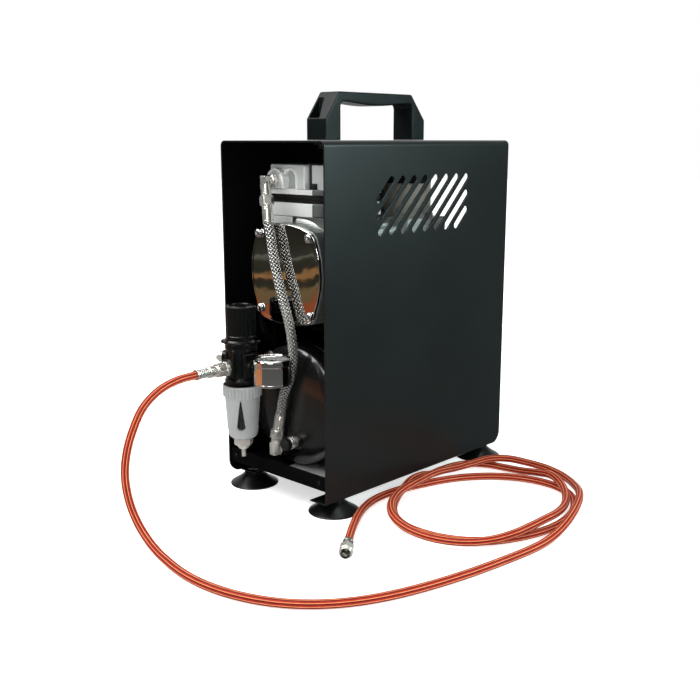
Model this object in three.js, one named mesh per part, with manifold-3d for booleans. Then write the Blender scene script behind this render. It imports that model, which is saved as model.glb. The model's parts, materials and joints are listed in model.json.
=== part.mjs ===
// Airbrush compressor: piston pump and electric motor over a small air tank, in a folded steel case.
// Millimetres. +Z up, +Y towards the open back, -Y the open front with the regulator, origin on the floor.
import * as THREE from 'three';
import { mergeVertices } from 'three/addons/utils/BufferGeometryUtils.js';
import Module from 'manifold-3d';

// ---------------------------------------------------------------- driving dimensions
const CASE_L = 264, CASE_W = 134, CASE_Z0 = 13, CASE_Z1 = 331, SHEET = 1.5;
const TOP_BEND_R = 5, CORNER_R = 13, FLANGE_W = 20.5;
const VENT_PITCH = 15.7, VENT_W = 6.3, VENT_Y0 = -47.2, VENT_TOP = 297.2, VENT_BOT = 250.9, VENT_FRONT = -64.2, VENT_REAR = 62.4;
const FOOT_X = 55, FOOT_Y = 110, FOOT_R = 23.5, FOOT_H = 12.7;
const TANK_R = 57, TANK_Z = 88.6, TANK_FRONT = -113.8, TANK_REAR = 119, DOME = 12, DOME_P = 3;
const CRANK_Z = 208, CRANK_R = 8, BORE_R = 20.4, CYL_Y = -63;
const HEAD_HALF = 37, HEAD_TOP = 310;
const REG_X = -30, REG_Y = -144, PORT_Z = 128.5;
const GAUGE_X = 12, GAUGE_R = 17.4;
const HANDLE_W = 25, HANDLE_TOP = 374.5;
const HOSE_R = 3.6, BRAID_R = 4.5;
const SHIFT_Y = 22.25;   // puts the origin under the middle of the box that the object fills without its hose

// ---------------------------------------------------------------- materials
const mat = (color, roughness, metalness) => new THREE.MeshStandardMaterial({ color, roughness, metalness });
const POWDER = mat(0x17191a, 0.5, 0.15);
const GLOSS_BLACK = mat(0x0c0d0e, 0.16, 0.2);
const BLACK_PLASTIC = mat(0x141516, 0.42, 0.0);
const RUBBER = mat(0x0f0f10, 0.5, 0.0);
const ALU = mat(0xa4aaaa, 0.38, 0.85);
const GREY_PLASTIC = mat(0x92979a, 0.5, 0.1);
const ZINC = mat(0x85898b, 0.45, 0.7);
const MIRROR = mat(0xe2e2e0, 0.04, 1.0);
const NICKEL = mat(0xc4c2b8, 0.18, 1.0);
const STEEL = mat(0xb9bcbe, 0.3, 1.0);
const BRAID = mat(0xa9acac, 0.35, 1.0);
const COPPER = mat(0x9c5a32, 0.4, 0.8);
const SMOKE = mat(0x3c4446, 0.15, 0.0);
const GLASS = mat(0xdfe8ea, 0.03, 0.0);
const DIAL = mat(0xf2f2ee, 0.6, 0.0);
const RED = mat(0xb3261e, 0.5, 0.0);
const HOSE = mat(0xb24a2a, 0.7, 0.0);

// ---------------------------------------------------------------- solid helpers
const wasm = await Module();
wasm.setup();

// One welded, outward-facing indexed mesh with no collapsed triangles.
function solid(src) {
  const g = src.index ? src.clone() : src.clone();
  for (const k of Object.keys(g.attributes)) if (k !== 'position') g.deleteAttribute(k);
  g.morphAttributes = {};
  const w = mergeVertices(g, 1e-4);
  const p = w.attributes.position, idx = w.index.array, out = [];
  for (let i = 0; i < idx.length; i += 3) {
    const [a, b, c] = [idx[i], idx[i + 1], idx[i + 2]];
    if (a !== b && b !== c && c !== a) out.push(a, b, c);
  }
  let v = 0;
  for (let i = 0; i < out.length; i += 3) {
    const [a, b, c] = [out[i], out[i + 1], out[i + 2]].map((k) => [p.getX(k), p.getY(k), p.getZ(k)]);
    v += a[0] * (b[1] * c[2] - b[2] * c[1]) - a[1] * (b[0] * c[2] - b[2] * c[0]) + a[2] * (b[0] * c[1] - b[1] * c[0]);
  }
  if (v < 0) for (let i = 0; i < out.length; i += 3) [out[i + 1], out[i + 2]] = [out[i + 2], out[i + 1]];
  const r = new THREE.BufferGeometry();
  r.setAttribute('position', p.clone());
  r.setIndex(out);
  return r;
}
function toManifold(g) {
  const s = solid(g);
  return new wasm.Manifold(new wasm.Mesh({ numProp: 3, vertProperties: new Float32Array(s.attributes.position.array), triVerts: new Uint32Array(s.index.array) }));
}
function fromManifold(m) {
  const d = m.getMesh();
  const g = new THREE.BufferGeometry();
  g.setAttribute('position', new THREE.BufferAttribute(new Float32Array(d.vertProperties), 3));
  g.setIndex(Array.from(d.triVerts));
  return g;
}
const join = (...gs) => fromManifold(gs.map(toManifold).reduce((a, b) => a.add(b)));
const cut = (g, ...tools) => fromManifold(tools.map(toManifold).reduce((a, b) => a.subtract(b), toManifold(g)));

const V3 = (a) => new THREE.Vector3(a[0], a[1], a[2]);
const DIR = { x: [1, 0, 0], y: [0, 1, 0], z: [0, 0, 1], nx: [-1, 0, 0], ny: [0, -1, 0], nz: [0, 0, -1] };
// Moves a solid made along +Z so that its axis points along dir and its origin lies at pos.
function along(g, dir, pos) {
  const d = V3(Array.isArray(dir) ? dir : DIR[dir]).normalize();
  const q = new THREE.Quaternion().setFromUnitVectors(new THREE.Vector3(0, 0, 1), d);
  return g.applyQuaternion(q).translate(pos[0], pos[1], pos[2]);
}
function turned(profile, seg = 24) {
  return new THREE.LatheGeometry(profile.map(([r, z]) => new THREE.Vector2(r, z)), seg).rotateX(Math.PI / 2);
}
const rod = (r, len, seg = 20) => turned([[0, 0], [r, 0], [r, len], [0, len]], seg);
const ring = (ro, ri, len, seg = 24) => turned([[ri, 0], [ro, 0], [ro, len], [ri, len], [ri, 0]], seg);
const box = (x0, x1, y0, y1, z0, z1) => new THREE.BoxGeometry(x1 - x0, y1 - y0, z1 - z0).translate((x0 + x1) / 2, (y0 + y1) / 2, (z0 + z1) / 2);
function prism(points, depth, holes = [], bevel = 0) {
  const s = new THREE.Shape(points.map(([a, b]) => new THREE.Vector2(a, b)));
  for (const h of holes) s.holes.push(new THREE.Path(h.map(([a, b]) => new THREE.Vector2(a, b))));
  return new THREE.ExtrudeGeometry(s, bevel
    ? { depth: depth - 2 * bevel, bevelEnabled: true, bevelThickness: bevel, bevelSize: bevel, bevelOffset: -bevel, bevelSegments: 1, curveSegments: 6 }
    : { depth, bevelEnabled: false, curveSegments: 6 }).translate(0, 0, bevel);
}
// prism drawn in (x, z), extruded along +Y from y0 to y1
const prismXZ = (pts, y0, y1, holes = [], bevel = 0) => prism(pts, y1 - y0, holes, bevel).rotateX(Math.PI / 2).translate(0, y1, 0);
// prism drawn in (y, z), extruded along +X from x0 to x1
const prismYZ = (pts, x0, x1, holes = [], bevel = 0) => prism(pts, x1 - x0, holes, bevel).applyMatrix4(new THREE.Matrix4().set(0, 0, 1, 0, 1, 0, 0, 0, 0, 1, 0, 0, 0, 0, 0, 1)).translate(x0, 0, 0);
const hexOutline = (af, n = 6, ph = 0) => Array.from({ length: n }, (_, i) => { const a = ph + (i / n) * 2 * Math.PI; const r = af / 2 / Math.cos(Math.PI / n); return [r * Math.cos(a), r * Math.sin(a)]; });
const hex = (af, len) => prism(hexOutline(af), len);
function arc(cx, cy, r, a0, a1, n) {
  return Array.from({ length: n + 1 }, (_, i) => { const a = ((a0 + ((a1 - a0) * i) / n) * Math.PI) / 180; return [cx + r * Math.cos(a), cy + r * Math.sin(a)]; });
}
function rounded(w, h, r, n = 4) {
  return [...arc(w / 2 - r, h / 2 - r, r, 0, 90, n), ...arc(-w / 2 + r, h / 2 - r, r, 90, 180, n), ...arc(-w / 2 + r, -h / 2 + r, r, 180, 270, n), ...arc(w / 2 - r, -h / 2 + r, r, 270, 360, n)];
}
const circle = (r, n, cx = 0, cy = 0) => Array.from({ length: n }, (_, i) => [cx + r * Math.cos((i / n) * 2 * Math.PI), cy + r * Math.sin((i / n) * 2 * Math.PI)]);
function tube(points, r, steps, sides) {
  const curve = new THREE.CatmullRomCurve3(points.map(V3), false, 'centripetal');
  const s = new THREE.Shape(circle(r, sides).map(([a, b]) => new THREE.Vector2(a, b)));
  return new THREE.ExtrudeGeometry(s, { steps, bevelEnabled: false, extrudePath: curve });
}

const group = new THREE.Group();
group.name = 'airbrush_compressor';
function add(name, geometry, material) {
  const g = solid(geometry).translate(0, SHIFT_Y, 0);
  g.computeVertexNormals();
  const m = new THREE.Mesh(g, material);
  m.name = name;
  group.add(m);
}
const H = CASE_L / 2, W = CASE_W / 2;

// ---------------------------------------------------------------- case
{
  const o = W, t = SHEET, r = TOP_BEND_R, b = 2, z0 = CASE_Z0, z1 = CASE_Z1;
  const outline = [
    [o - FLANGE_W, z0], ...arc(o - b, z0 + b, b, 270, 360, 3), ...arc(o - r, z1 - r, r, 0, 90, 6),
    ...arc(-o + r, z1 - r, r, 90, 180, 6), ...arc(-o + b, z0 + b, b, 180, 270, 3), [-o + FLANGE_W, z0], [-o + FLANGE_W, z0 + t],
    ...arc(-o + b, z0 + b, b - t, 270, 180, 2), ...arc(-o + r, z1 - r, r - t, 180, 90, 4), ...arc(o - r, z1 - r, r - t, 90, 0, 4),
    ...arc(o - b, z0 + b, b - t, 360, 270, 2), [o - FLANGE_W, z0 + t]];
  const shell = prismXZ(outline, -H, H);
  // slanted vents, each a round-ended slot cut inside the vent rectangle
  const slots = [];
  for (let i = 0; i < 10; i++) {
    const yTop = VENT_Y0 + VENT_PITCH * i;
    let a = [yTop - (VENT_TOP - VENT_BOT), VENT_BOT], c = [yTop, VENT_TOP];
    if (a[0] < VENT_FRONT) a = [VENT_FRONT, VENT_TOP - (yTop - VENT_FRONT)];
    if (c[0] > VENT_REAR) c = [VENT_REAR, VENT_TOP - (yTop - VENT_REAR)];
    slots.push(prismYZ([...arc(c[0], c[1], VENT_W / 2, -45, 135, 5), ...arc(a[0], a[1], VENT_W / 2, 135, 315, 5)], W - 4, W + 2));
  }
  const R = CORNER_R, z = CASE_Z0;
  const frontCorner = [[-H - 2, z - 2], [-H + R, z - 2], ...arc(-H + R, z + R, R, 270, 180, 4), [-H - 2, z + R]];
  const rearCorner = frontCorner.map(([y, zz]) => [-y, zz]).reverse();
  add('casing', cut(shell, ...slots, prismYZ(frontCorner, -W - 2, -W + FLANGE_W + 2), prismYZ(rearCorner, -W - 2, -W + FLANGE_W + 2), prismYZ(rearCorner, W - FLANGE_W - 2, W + 2)), POWDER);
}
{
  // pressed pan with an upturned rim all round
  const tray = cut(box(-65.2, 65.2, -131, 129, 25.5, 39), box(-63.7, 63.7, -129.5, 127.5, 27, 41));
  const screw = (x, y, d) => along(turned([[0, 0], [3, 0], [3, 0.9], [1.8, 1.8], [0, 1.8]], 12), d, [x, y, 32.2]);
  add('base_tray', join(tray, screw(57, -130.9, 'ny'), screw(-2, -130.9, 'ny'), screw(57, 128.9, 'y'), screw(-57, 128.9, 'y')), POWDER);
}
{
  const saddle = (y) => {
    const pts = [[-40, 28.2], [40, 28.2], [40, 45], ...arc(0, TANK_Z, TANK_R + 0.3, 313, 227, 10), [-40, 45]];
    return prismXZ(pts, y - 3, y + 3);
  };
  add('tank_cradle', join(box(-61, 61, -126, 124, 27.3, 28.3), saddle(-62), saddle(66)), ZINC);
}
{
  const y0 = -75.6, y1 = 63.9, i0 = -55.5, i1 = 44.4, z0 = 331.3;
  const pts = [
    [y0, z0], [i0, z0], ...arc(i0 + 6, 359.5, 6, 180, 100, 4), [-40, 365.4], [-24, 363.8], [-6, 362.7], [12, 363.8], [29, 365.4],
    ...arc(i1 - 6, 359.5, 6, 80, 0, 4), [i1, z0], [y1, z0], [y1, 350.5], [43.5, 373.6], [40.5, HANDLE_TOP], [-55.5, HANDLE_TOP], [-58, 373.6], [y0, 350.5]];
  const bridge = prismYZ(pts, -HANDLE_W / 2, HANDLE_W / 2, [], 1.6);
  const pocket = (s, a, b) => prismYZ(s > 0 ? [[a, 350.7], [b + 20, 350.7], [b + 20, 380], [a, 380]] : [[b - 20, 350.7], [a, 350.7], [a, 380], [b - 20, 380]], -10, 10);
  add('handle', cut(bridge, pocket(-1, -59.5, y0), pocket(1, 47.8, y1)), BLACK_PLASTIC);
  const bolt = (y) => along(hex(10, 3.7), 'nz', [0, y, 327.3]);
  add('handle_backing_plate', join(box(-9, 9, -73, 61, 327.2, 329.2), bolt(-65.5), bolt(54.2)), STEEL);
}
for (const [name, x, y] of [['foot_front_left', -FOOT_X, -FOOT_Y], ['foot_front_right', FOOT_X, -FOOT_Y], ['foot_rear_left', -FOOT_X, FOOT_Y], ['foot_rear_right', FOOT_X, FOOT_Y]]) {
  // hollow suction cup with a flat rim and a neck under the flange
  const r = FOOT_R;
  const profile = [[0, 4], [10, 3.4], [r - 4, 0], [r, 0], [r, 1.2], [19, 4.2], [13, 8], [9.2, 10.6], [9.2, FOOT_H], [0, FOOT_H]];
  add(name, turned(profile, 20).translate(x, y, 0), RUBBER);
}

// ---------------------------------------------------------------- air tank
const domeY = (x, z) => { const r = Math.hypot(x, z - TANK_Z); return TANK_FRONT + DOME - DOME * Math.max(0, 1 - (r / TANK_R) ** DOME_P) ** (1 / DOME_P); };
const BUNG = 2.8;   // how far a welded bung stands out of the dome
const DRAIN = [9.5, 57];
const ELBOW_HEAD = [-25, -115.4, 295], BRAID_TOP = [-15.3, -121.6, 261.6];
const BRAID_BOTTOM = [-3.2, -121, 83.6], ELBOW_TANK = [-12.4, -121, 45];
{
  // a flat crown and a tight knuckle
  const dome = (n, f) => Array.from({ length: n + 1 }, (_, i) => { const a = (i / n) * Math.PI / 2; return f(TANK_R * Math.sin(a) ** (2 / DOME_P), DOME * Math.cos(a) ** (2 / DOME_P)); });
  const front = dome(8, (r, d) => [r, TANK_FRONT + DOME - d]);
  const rear = dome(8, (r, d) => [r, TANK_REAR - DOME + d]).reverse();
  const profile = [...front, ...rear];
  profile[0][0] = 0; profile[profile.length - 1][0] = 0;
  const bung = (x, z, back = 5.2) => along(rod(7, back + BUNG, 12), 'ny', [x, domeY(x, z) + back, z]);
  add('air_tank', join(along(turned(profile, 36), 'y', [0, 0, TANK_Z]), bung(DRAIN[0], DRAIN[1]), bung(ELBOW_TANK[0], ELBOW_TANK[2]), bung(REG_X, PORT_Z, 14)), GLOSS_BLACK);
}
{
  // bent platform with two cheeks that follow the tank
  const cheek = (s) => { const x0 = s * 42, x1 = s * 45; return box(Math.min(x0, x1), Math.max(x0, x1), -92, 84, 127.6, 161); };
  const screwHead = (x, y) => turned([[0, 0], [4, 0], [4, 1.6], [2.6, 3], [0, 3]], 12).translate(x, y, 162.9);
  add('motor_mount', join(cut(box(-45, 45, -92, 84, 160.2, 163), box(-24, 24, -40, 40, 155, 170)), cheek(1), cheek(-1), screwHead(40, -87.6), screwHead(-40, -87.6)), POWDER);
}
{
  const [x, z] = DRAIN, y = domeY(x, z) - BUNG;
  const body = join(along(rod(5, 7, 16), 'ny', [x, y - 0.3, z]), along(hex(9, 3.4), 'ny', [x, y - 3.4, z]));
  add('tank_drain_valve', cut(body, along(rod(2.6, 4, 12), 'ny', [x, y - 5, z])), NICKEL);
  const fl = Array.from({ length: 24 }, (_, i) => { const a = (i / 24) * 2 * Math.PI, r = i % 2 ? 5.2 : 5.9; return [r * Math.cos(a), r * Math.sin(a)]; });
  add('tank_drain_knob', join(along(prism(fl, 5), 'ny', [x, y - 8, z]), along(rod(2.1, 4, 12), 'ny', [x, y - 5.4, z])), BRAID);
}

// ---------------------------------------------------------------- discharge line route
const LEG = V3([BRAID_TOP[0] - ELBOW_HEAD[0], BRAID_TOP[1] - ELBOW_HEAD[1], BRAID_TOP[2] - ELBOW_HEAD[2]]).normalize();
const legAt = (d) => [ELBOW_HEAD[0] + LEG.x * d, ELBOW_HEAD[1] + LEG.y * d, ELBOW_HEAD[2] + LEG.z * d];
const FOOT_DIR = V3([ELBOW_TANK[0] - BRAID_BOTTOM[0], ELBOW_TANK[1] - BRAID_BOTTOM[1], ELBOW_TANK[2] - BRAID_BOTTOM[2]]).normalize();
const footAt = (d) => [BRAID_BOTTOM[0] + FOOT_DIR.x * d, BRAID_BOTTOM[1] + FOOT_DIR.y * d, BRAID_BOTTOM[2] + FOOT_DIR.z * d];
const legV = [LEG.x, LEG.y, LEG.z], footV = [FOOT_DIR.x, FOOT_DIR.y, FOOT_DIR.z];
{
  // elbow into the head's outlet boss
  const b = ELBOW_HEAD;
  add('discharge_elbow', join(
    along(rod(4.6, -104.3 - b[1], 16), 'ny', [b[0], -104.3, b[2]]), along(hex(11.5, 4.4), 'ny', [b[0], -105.4, b[2]]),
    box(b[0] - 3.8, b[0] + 3.8, b[1] - 3.8, b[1] + 3.8, 287.5, 300.2), along(rod(4.8, 13.3, 16), legV, b)), NICKEL);
  add('braid_nut_top', join(along(hex(11.5, 9), legV, legAt(13.6)), along(rod(5.0, 12.6, 16), legV, legAt(22.2))), NICKEL);
  const reach = Math.hypot(BRAID_TOP[0] - b[0], BRAID_TOP[1] - b[1], BRAID_TOP[2] - b[2]);
  add('braided_hose', tube([legAt(reach + 0.3), legAt(reach + 4.5), [-10.2, -123.8, 250], [-5.2, -124.8, 230], [0.8, -125.4, 210], [8, -125.4, 189.5], [14.6, -124.8, 169], [16.2, -123.2, 152], [15.4, -121.8, 139], [10.5, -121.2, 120], [2.2, -121, 103.5], footAt(-4), [...BRAID_BOTTOM]], BRAID_R, 26, 8), BRAID);
  add('braid_nut_bottom', join(along(rod(5.4, 16.2, 16), footV, footAt(0.4)), along(hex(11.6, 10), footV, footAt(16.4))), NICKEL);
  const e = ELBOW_TANK, y = domeY(e[0], e[2]) - BUNG, len = Math.hypot(e[0] - BRAID_BOTTOM[0], e[2] - BRAID_BOTTOM[2]);
  add('tank_elbow', join(along(rod(4.4, len - 26.7, 16), footV, footAt(26.7)), box(e[0] - 3.7, e[0] + 3.7, e[1] - 3.7, e[1] + 3.7, e[2] - 4.2, e[2] + 8), along(rod(4.4, y - 0.3 - e[1], 16), 'y', e), along(hex(10.4, 1.6), 'y', [e[0], e[1] + 3.8, e[2]])), NICKEL);
}

// ---------------------------------------------------------------- pump
const halfCover = [[0, 258], [14, 257.4], [26, 254.6], [34.6, 251.8], [38.8, 247.4], [42.8, 236], [45.6, 222], [46, 210], [43.6, 197], [39.6, 185], [36.5, 175.5], [31, 170.6], [15, 167.6], [0, 167]];
const coverOutline = (grow) => {
  const cz = 214, f = (x) => x * (1 + grow / 44), g = (z) => cz + (z - cz) * (1 + grow / 46);
  const right = halfCover.map(([x, z]) => [f(x), g(z)]);
  const left = halfCover.slice(1, -1).reverse().map(([x, z]) => [-f(x), g(z)]);
  return [...right, ...left].reverse();
};
const screwAt = [[-32.6, 248], [33.4, 247.5], [-32.2, 179], [33.2, 178]];
{
  const body = prismXZ(coverOutline(0.6), -114.2, -38);
  const shoulder = prismXZ([[-36.5, 263.3], [-36.5, 250], [36.5, 250], [36.5, 263.3]], -99.5, -38);
  const feet = prismXZ([[-38, 172], [-41, 163.3], [41, 163.3], [38, 172]], -82, -38);
  const cavity = along(rod(34, 69, 24), 'y', [0, -115, CRANK_Z]);
  const bore = rod(24.9, 60, 24).translate(0, CYL_Y, 222);
  const shaftHole = along(rod(6.7, 20, 24), 'y', [0, -50, CRANK_Z]);
  add('crankcase', cut(join(body, shoulder, feet), cavity, bore, shaftHole), ALU);
  // domed cover plate, four corner screws
  const plate = prismXZ(coverOutline(-0.4), -117.5, -114.5, [], 0.8);
  add('crankcase_cover', plate, MIRROR);
  screwAt.forEach(([x, z], i) => add(`cover_screw_${i + 1}`, along(cut(turned([[0, 0], [4.1, 0], [4.1, 1.4], [3.2, 2.8], [1.8, 3.4], [0, 3.4]], 16), hex(3, 3).translate(0, 0, 1.6)), 'ny', [x, -117.8, z]), STEEL));
}
{
  const square = (h, r) => rounded(2 * h, 2 * h, r, 4).map(([x, y]) => [x, y + CYL_Y]);
  const flange = prism(square(HEAD_HALF, 7), 12.1).translate(0, 0, 263.7);
  const sleeve = rod(24.3, 28, 24).translate(0, CYL_Y, 238);
  add('cylinder', cut(join(flange, sleeve), rod(BORE_R, 60, 24).translate(0, CYL_Y, 230)), ALU);
  const vplate = prism(square(HEAD_HALF - 0.6, 7), 6.9).translate(0, 0, 276.1);
  add('valve_plate', vplate, BLACK_PLASTIC);
  // head: base flange, block with an arched inlet recess, an outlet boss and screw channels at the corners
  const base = prism(square(HEAD_HALF, 7), 4.7).translate(0, 0, 283.3);
  const block = prism(rounded(73, 71, 4, 3).map(([x, y]) => [x, y + CYL_Y]), HEAD_TOP - 287.8, [], 1.2).translate(0, 0, 287.8);
  const arch = (x, r, z, y0, y1) => prismXZ([[x + r, 289], ...arc(x, z, r, 0, 180, 8), [x - r, 289]], y0, y1);
  const boss = arch(ELBOW_HEAD[0], 10.4, ELBOW_HEAD[2], -104, -92);
  const recess = arch(-9.5, 7.2, 297.7, -99.5, -94);
  const channel = (sx, sy) => box(sx > 0 ? 10.6 : -23.5, sx > 0 ? 21.4 : -17, sy > 0 ? -34 : -99, sy > 0 ? -27 : -91, 288, 312);
  let head = cut(join(base, block), recess, channel(1, -1), channel(1, 1), channel(-1, 1));
  for (const x of [-26, -14, -2, 10, 30]) head = cut(head, box(x - 1.5, x + 1.5, -86, -40, 303, 312));
  add('cylinder_head', join(head, boss), ALU);
  const cap = () => cut(turned([[0, 0], [3, 0], [3, 3.6], [2.6, 4], [0, 4]], 16), hex(3, 3).translate(0, 0, 2));
  add('head_screw_1', cap().translate(16.3, -95.5, 288.3), GLOSS_BLACK);
  add('head_screw_2', cap().translate(16.3, -30.5, 288.3), GLOSS_BLACK);
}
{
  // one-piece wobble rod: piston disc, shank and big-end eye
  const pin = CRANK_Z + CRANK_R;
  const piston = rod(BORE_R - 0.5, 7, 24).translate(0, CYL_Y, 268);
  const shank = prismXZ([[-7, 269], [-5, 262], [-4.2, pin + 9], [4.2, pin + 9], [5, 262], [7, 269]], CYL_Y - 4, CYL_Y + 4);
  const eye = along(rod(11, 12, 28), 'y', [0, CYL_Y - 6, pin]);
  add('connecting_rod', cut(join(piston, shank, eye), along(rod(5.2, 20, 20), 'y', [0, CYL_Y - 10, pin])), ALU);
  // crankshaft: stub pin, web with counterweight, shaft through the motor
  const web = prismXZ([...arc(0, pin, 7.5, 25, 155, 6), ...arc(0, CRANK_Z, 20, 200, 340, 12)], -55, -47.5);
  add('crankshaft', join(web, along(rod(4.6, 3, 20), 'y', [0, -56.6, pin]), along(rod(6, 141, 24), 'y', [0, -50, CRANK_Z])), STEEL);
}

// ---------------------------------------------------------------- motor
{
  const n = 22, fins = [];
  for (let i = 0; i < n; i++) for (const [f, r] of [[-0.25, 44.4], [0.25, 44.4], [0.32, 42], [0.68, 42]]) { const a = ((i + f) / n) * 2 * Math.PI; fins.push([r * Math.cos(a), CRANK_Z + r * Math.sin(a)]); }
  const can = prismXZ(fins, -37.6, 78);
  const deck = prismXZ([[-29, 243], [29, 243], [29, 255.8], [-29, 255.8]], 20, 79.6);
  add('motor_housing', cut(join(can, deck), along(rod(39.9, 110, 24), 'y', [0, -38.5, CRANK_Z]), along(rod(6.7, 60, 24), 'y', [0, 40, CRANK_Z])), ALU);
  const core = along(ring(39.2, 26.6, 76, 22), 'y', [0, -16, CRANK_Z]);
  const coil = (y) => along(ring(37, 29.5, 11.5, 22), 'y', [0, y, CRANK_Z]);
  add('stator', join(core, coil(-27), coil(59)), COPPER);
  add('rotor', along(ring(25.8, 6.4, 72, 22), 'y', [0, -14, CRANK_Z]), STEEL);
  const blade = (i) => prism([[10, -1.4], [38, -5], [38.6, 3], [10, 1.4]], 8).rotateZ((i / 7) * 2 * Math.PI);
  add('cooling_fan', along(join(ring(12, 6.3, 9, 28), ...Array.from({ length: 7 }, (_, i) => blade(i).translate(0, 0, 0.5))), 'y', [0, 80.5, CRANK_Z]), BLACK_PLASTIC);
}
{
  add('intake_silencer', turned([[0, 0], [26.5, 0], [26.5, 3], [24, 4.2], [24, 38.5], [22.6, 41], [19, 42.6], [0, 42.6]], 26).translate(0, 53, 256.1), GREY_PLASTIC);
  const f = join(along(rod(10.5, 12, 24), 'y', [10, -21.2, 299]), along(rod(4, 6, 16), 'y', [10, -26.6, 299]));
  add('intake_filter', f, BLACK_PLASTIC);
}
{
  // control box on the left panel at the back, with a rocker switch and a blanked mains inlet in its rear face
  const bx = cut(box(-65.1, -30, 103, 130, 168, 236), box(-58, -37, 121.4, 131, 207, 228));
  const inlet = cut(box(-60, -35, 129.5, 131.4, 174, 196), box(-57.5, -37.5, 130.4, 132, 176.5, 193.5));
  const blades = [-53, -47.5, -42].map((x) => box(x - 1, x + 1, 129.9, 131.9, 181.5, 188));
  add('control_box', join(bx, inlet, ...blades), BLACK_PLASTIC);
  const rocker = prismYZ([[125, 209], [133, 209], [130.4, 217.5], [129.9, 226], [125, 226]], -57, -38);
  add('rocker_switch', rocker, RED);
  add('motor_cable', tube([[-47, -20, 210], [-53, -27, 214], [-57.5, -48, 214], [-58.5, -72, 206], [-58.5, -88, 188], [-58.5, -94, 166], [-59.5, -88, 146], [-61.5, -56, 132], [-61.8, 4, 128], [-60.5, 56, 140], [-54, 80, 166], [-50, 94, 182], [-50, 102.6, 182]], 2.6, 34, 6), RUBBER);
}

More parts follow.
